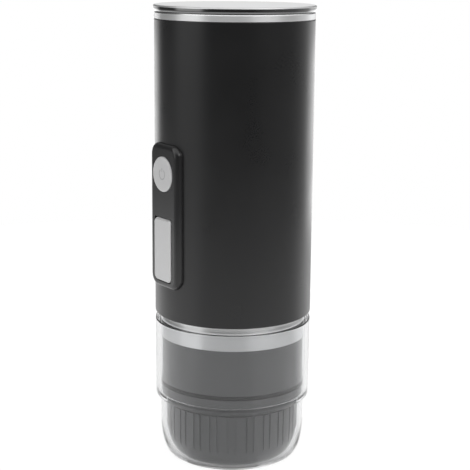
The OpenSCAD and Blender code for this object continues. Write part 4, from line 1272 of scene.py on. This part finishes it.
@dataclass
class Studio:
    """Camera, floor and light: a white tent with a dark front and two soft boxes beside the camera.

    A bearing goes from 0 to 1 round the object: 0.5 is towards the camera, less is to its left, and 0 and 1
    are straight behind. A height is the z of a direction. A pair of heights or of radii in millimetres is
    where a soft step starts and ends.
    """

    turn: float = 55.7
    pitch: float = 12.4495
    roll: float = 0.4454
    stand: Triple = (0.4937, -0.3358, 0.2384)
    lens: float = 98.687
    sensor: float = 36.0
    near_clip: float = 0.01

    floor_r: float = 0.55
    paper: float = 0.88
    floor_clear: float = 0.82
    floor_gain: float = 1.12
    # radii and levels of the shadow painted into the floor's glow beneath the object
    under_r: Pair = (26.0, 36.0)
    painted_shadow: Pair = (0.1, 0.9)
    wall_white: float = 0.95

    pool: float = 0.1
    left_pool: Span = Span(0.1, 0.365, 0.006, 0.26)
    right_pool: Span = Span(0.576, 0.75, 0.006, 0.22)
    right_pool_r: Pair = (215.0, 260.0)
    back_pool: Span = Span(0.79, 0.9, 0.03, 0.4)

    walls: tuple[Pair, ...] = (
        (0.0, 1.1), (0.02, 1.05), (0.05, 0.15), (0.12, 0.1), (0.24, 0.12), (0.36, 0.2), (0.41, 0.09),
        (0.57, 0.09), (0.62, 0.2), (0.76, 0.3), (0.83, 0.65), (0.88, 0.5), (0.91, 0.15), (0.96, 0.2),
        (0.98, 1.05), (1.0, 1.1),
    )
    left_box: Span = Span(0.252, 0.372, 0.015, 1.08)
    left_box_foot: Pair = (-0.12, -0.06)
    left_box_dim: float = 0.15
    left_box_top: Pair = (0.3, 0.5)
    left_box_top_level: float = 2.4
    right_box: Span = Span(0.57, 0.69, level=3.3)
    right_box_z: Span = Span(0.35, 0.95, 0.1)
    strips: tuple[Span, Span] = (Span(0.02, 0.12), Span(0.86, 0.98))
    strips_top: Pair = (-0.06, -0.03)
    strips_level: float = 2.2
    low_box: Span = Span(0.12, 0.25, level=0.7)
    low_box_top: Pair = (-0.21, -0.13)
    dim_corners: tuple[Span, Span] = (Span(0.04, 0.23), Span(0.88, 0.96))
    dim_by: float = 0.8
    roof: Pair = (0.3, 0.75)
    roof_level: float = 1.3

    def build(self) -> None:
        """Sets up the camera, the floor and the light."""
        bpy.context.scene.view_settings.view_transform = "Standard"
        self.camera()
        self.floor()
        self.light()

    def camera(self) -> None:
        """Sets the camera where the photograph was taken from."""
        data = bpy.data.cameras.new("camera")
        data.lens, data.sensor_width, data.clip_start = self.lens, self.sensor, self.near_clip
        data.dof.use_dof = False
        camera = bpy.data.objects.new("camera", data)
        camera.matrix_world = (
            Matrix.Translation(self.stand)
            @ Matrix.Rotation(math.radians(self.turn), 4, "Z")
            @ Matrix.Rotation(math.radians(90 - self.pitch), 4, "X")
            @ Matrix.Rotation(math.radians(self.roll), 4, "Z")
        )
        bpy.context.scene.collection.objects.link(camera)
        bpy.context.scene.camera = camera

    def floor(self) -> None:
        """A pale round floor with pools of light round the object.

        To the camera it is mostly see-through, so that the white behind it shows, and a cup that is pulled
        down; what is left of it keeps the shadow. Through the cup it glows, with a shadow painted beneath the
        object.
        """
        a = np.linspace(0, 2 * np.pi, 96, endpoint=False)
        rim = np.stack([np.cos(a), np.sin(a), 0 * a], axis=1) * self.floor_r
        mesh = bpy.data.meshes.new("floor")
        mesh.from_pydata(rim, [], [list(range(len(a)))])
        floor = bpy.data.objects.new("floor", mesh)
        bpy.context.scene.collection.objects.link(floor)
        made = bpy.data.materials.new("floor_white")
        bench = Bench.of(made)
        x, y, _ = bench.split(bench.place())
        bearing = self._bearing(bench, x, y)
        far = (x * x + y * y) ** 0.5
        near = 1 - bench.step(far, *self.right_pool_r)
        pools = self.pool + self.left_pool.light(bench, bearing)
        pools = pools + self.right_pool.light(bench, bearing) * near
        pools = pools + self.back_pool.light(bench, bearing)
        direct, through = self._seen(bench)
        seen = direct.most(through)
        paper = bench.add("ShaderNodeBsdfDiffuse", {}, {"Color": (*grey(self.paper), 1.0)})
        spill_colour = bench.blend(pools * (1 - seen), grey(0.0), grey(1.0))
        spill = bench.add("ShaderNodeEmission", {}, {"Color": spill_colour})
        lit = bench.add("ShaderNodeAddShader", {}, {0: paper, 1: spill})
        # painted shadow: through the cup the glow is dark where the cup's base stands
        dark, pale = self.painted_shadow
        painted_shadow = bench.blend(bench.step(far, *self.under_r), grey(dark), grey(pale))
        glow = bench.add("ShaderNodeEmission", {}, {"Color": painted_shadow})
        clear = bench.add("ShaderNodeBsdfTransparent", {}, {"Color": (*grey(self.floor_gain), 1.0)})
        shown = bench.add("ShaderNodeMixShader", {}, {0: direct, 1: glow, 2: clear})
        mixed = bench.add("ShaderNodeMixShader", {}, {0: self.floor_clear * seen, 1: lit, 2: shown})
        bench.node("ShaderNodeOutputMaterial", {}, {"Surface": mixed})
        floor.data.materials.append(made)
        floor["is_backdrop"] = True

    def _bearing(self, bench: Bench, x: Wire, y: Wire) -> Wire:
        """The bearing of a direction: its angle from the camera's over a whole turn, plus a half."""
        c, s = math.cos(math.radians(self.turn - 90)), math.sin(math.radians(self.turn - 90))
        ahead, right = x * c + y * s, y * c - x * s
        return right.atan2(ahead) / (2 * math.pi) + 0.5

    def _seen(self, bench: Bench) -> tuple[Wire, Wire]:
        """How much of the plain white a ray sees, straight from the camera and through the clear cup.

        Through the cup it is all of it before any reflection, and less after turns inside the cup's own
        wall, which such a ray enters and leaves once.

        Args:
            bench: The node tree.

        Returns:
            The two shares, from 0 to 1.
        """
        path = bench.node("ShaderNodeLightPath", {}, {})
        rays = ("Is Camera Ray", "Is Transmission Ray")
        depths = ("Diffuse Depth", "Glossy Depth", "Transmission Depth")
        outputs = (Wire(bench, path.outputs[name]) for name in rays + depths)
        direct, through, matt, glossy, passes = outputs
        plain = (1 - matt - glossy).most(0.0)
        in_wall = (1 - matt).most(0.0) * (3 - passes).most(0.0).least(1.0)
        return direct, through * plain.most(self.wall_white * in_wall)

    def light(self) -> None:
        """Lights the world: brightness by direction, and plain white where the background is seen."""
        world = bpy.data.worlds.new("studio")
        bpy.context.scene.world = world
        bench = Bench.of(world)
        x, y, z = bench.split(bench.add("ShaderNodeTexCoord", {}, {}, "Generated"))
        bearing = self._bearing(bench, x, y)

        def either(spans: tuple[Span, Span]) -> Wire:
            """1 in either of two stretches of bearings."""
            return spans[0].mask(bench, bearing) + spans[1].mask(bench, bearing)

        walls = bench.add("ShaderNodeValToRGB", {"stops": self.walls}, {0: bearing})
        foot = self.left_box_dim + (1 - self.left_box_dim) * bench.step(z, *self.left_box_foot)
        left = self.left_box.mask(bench, bearing) * foot
        top = bench.step(z, *self.left_box_top)
        left_light = bench.blend(top, grey(self.left_box.level), grey(self.left_box_top_level))
        right = self.right_box.mask(bench, bearing) * self.right_box_z.mask(bench, z)
        strips = either(self.strips) * (1 - bench.step(z, *self.strips_top))
        low = self.low_box.mask(bench, bearing) * (1 - bench.step(z, *self.low_box_top))
        boxes = bench.blend(left, walls, left_light)
        boxes = bench.blend(right, boxes, grey(self.right_box.level))
        boxes = bench.blend(strips, boxes, grey(self.strips_level))
        boxes = bench.blend(low, boxes, grey(self.low_box.level))
        roof = bench.step(z, *self.roof) * (1 - self.dim_by * either(self.dim_corners))
        tent = bench.blend(roof, boxes, grey(self.roof_level))
        direct, through = self._seen(bench)
        shown = bench.blend(direct.most(through), tent, grey(1.0))
        sky = bench.add("ShaderNodeBackground", {}, {"Color": shown, "Strength": 1.0})
        bench.node("ShaderNodeOutputWorld", {}, {"Surface": sky})


def corners() -> list[list[float]]:
    """The shown object's lowest and highest corner as plain lists."""
    return [[float(v) for v in corner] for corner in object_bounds()]


def main() -> None:
    logging.basicConfig(level=logging.INFO, format="%(message)s")
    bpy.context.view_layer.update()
    for part in (Studio(), Inside(), Cup(), Bands(), Lid(), Sleeve(), Panel(), BrewUnit(), Springs()):
        part.build()


if __name__ == "__main__":
    main()
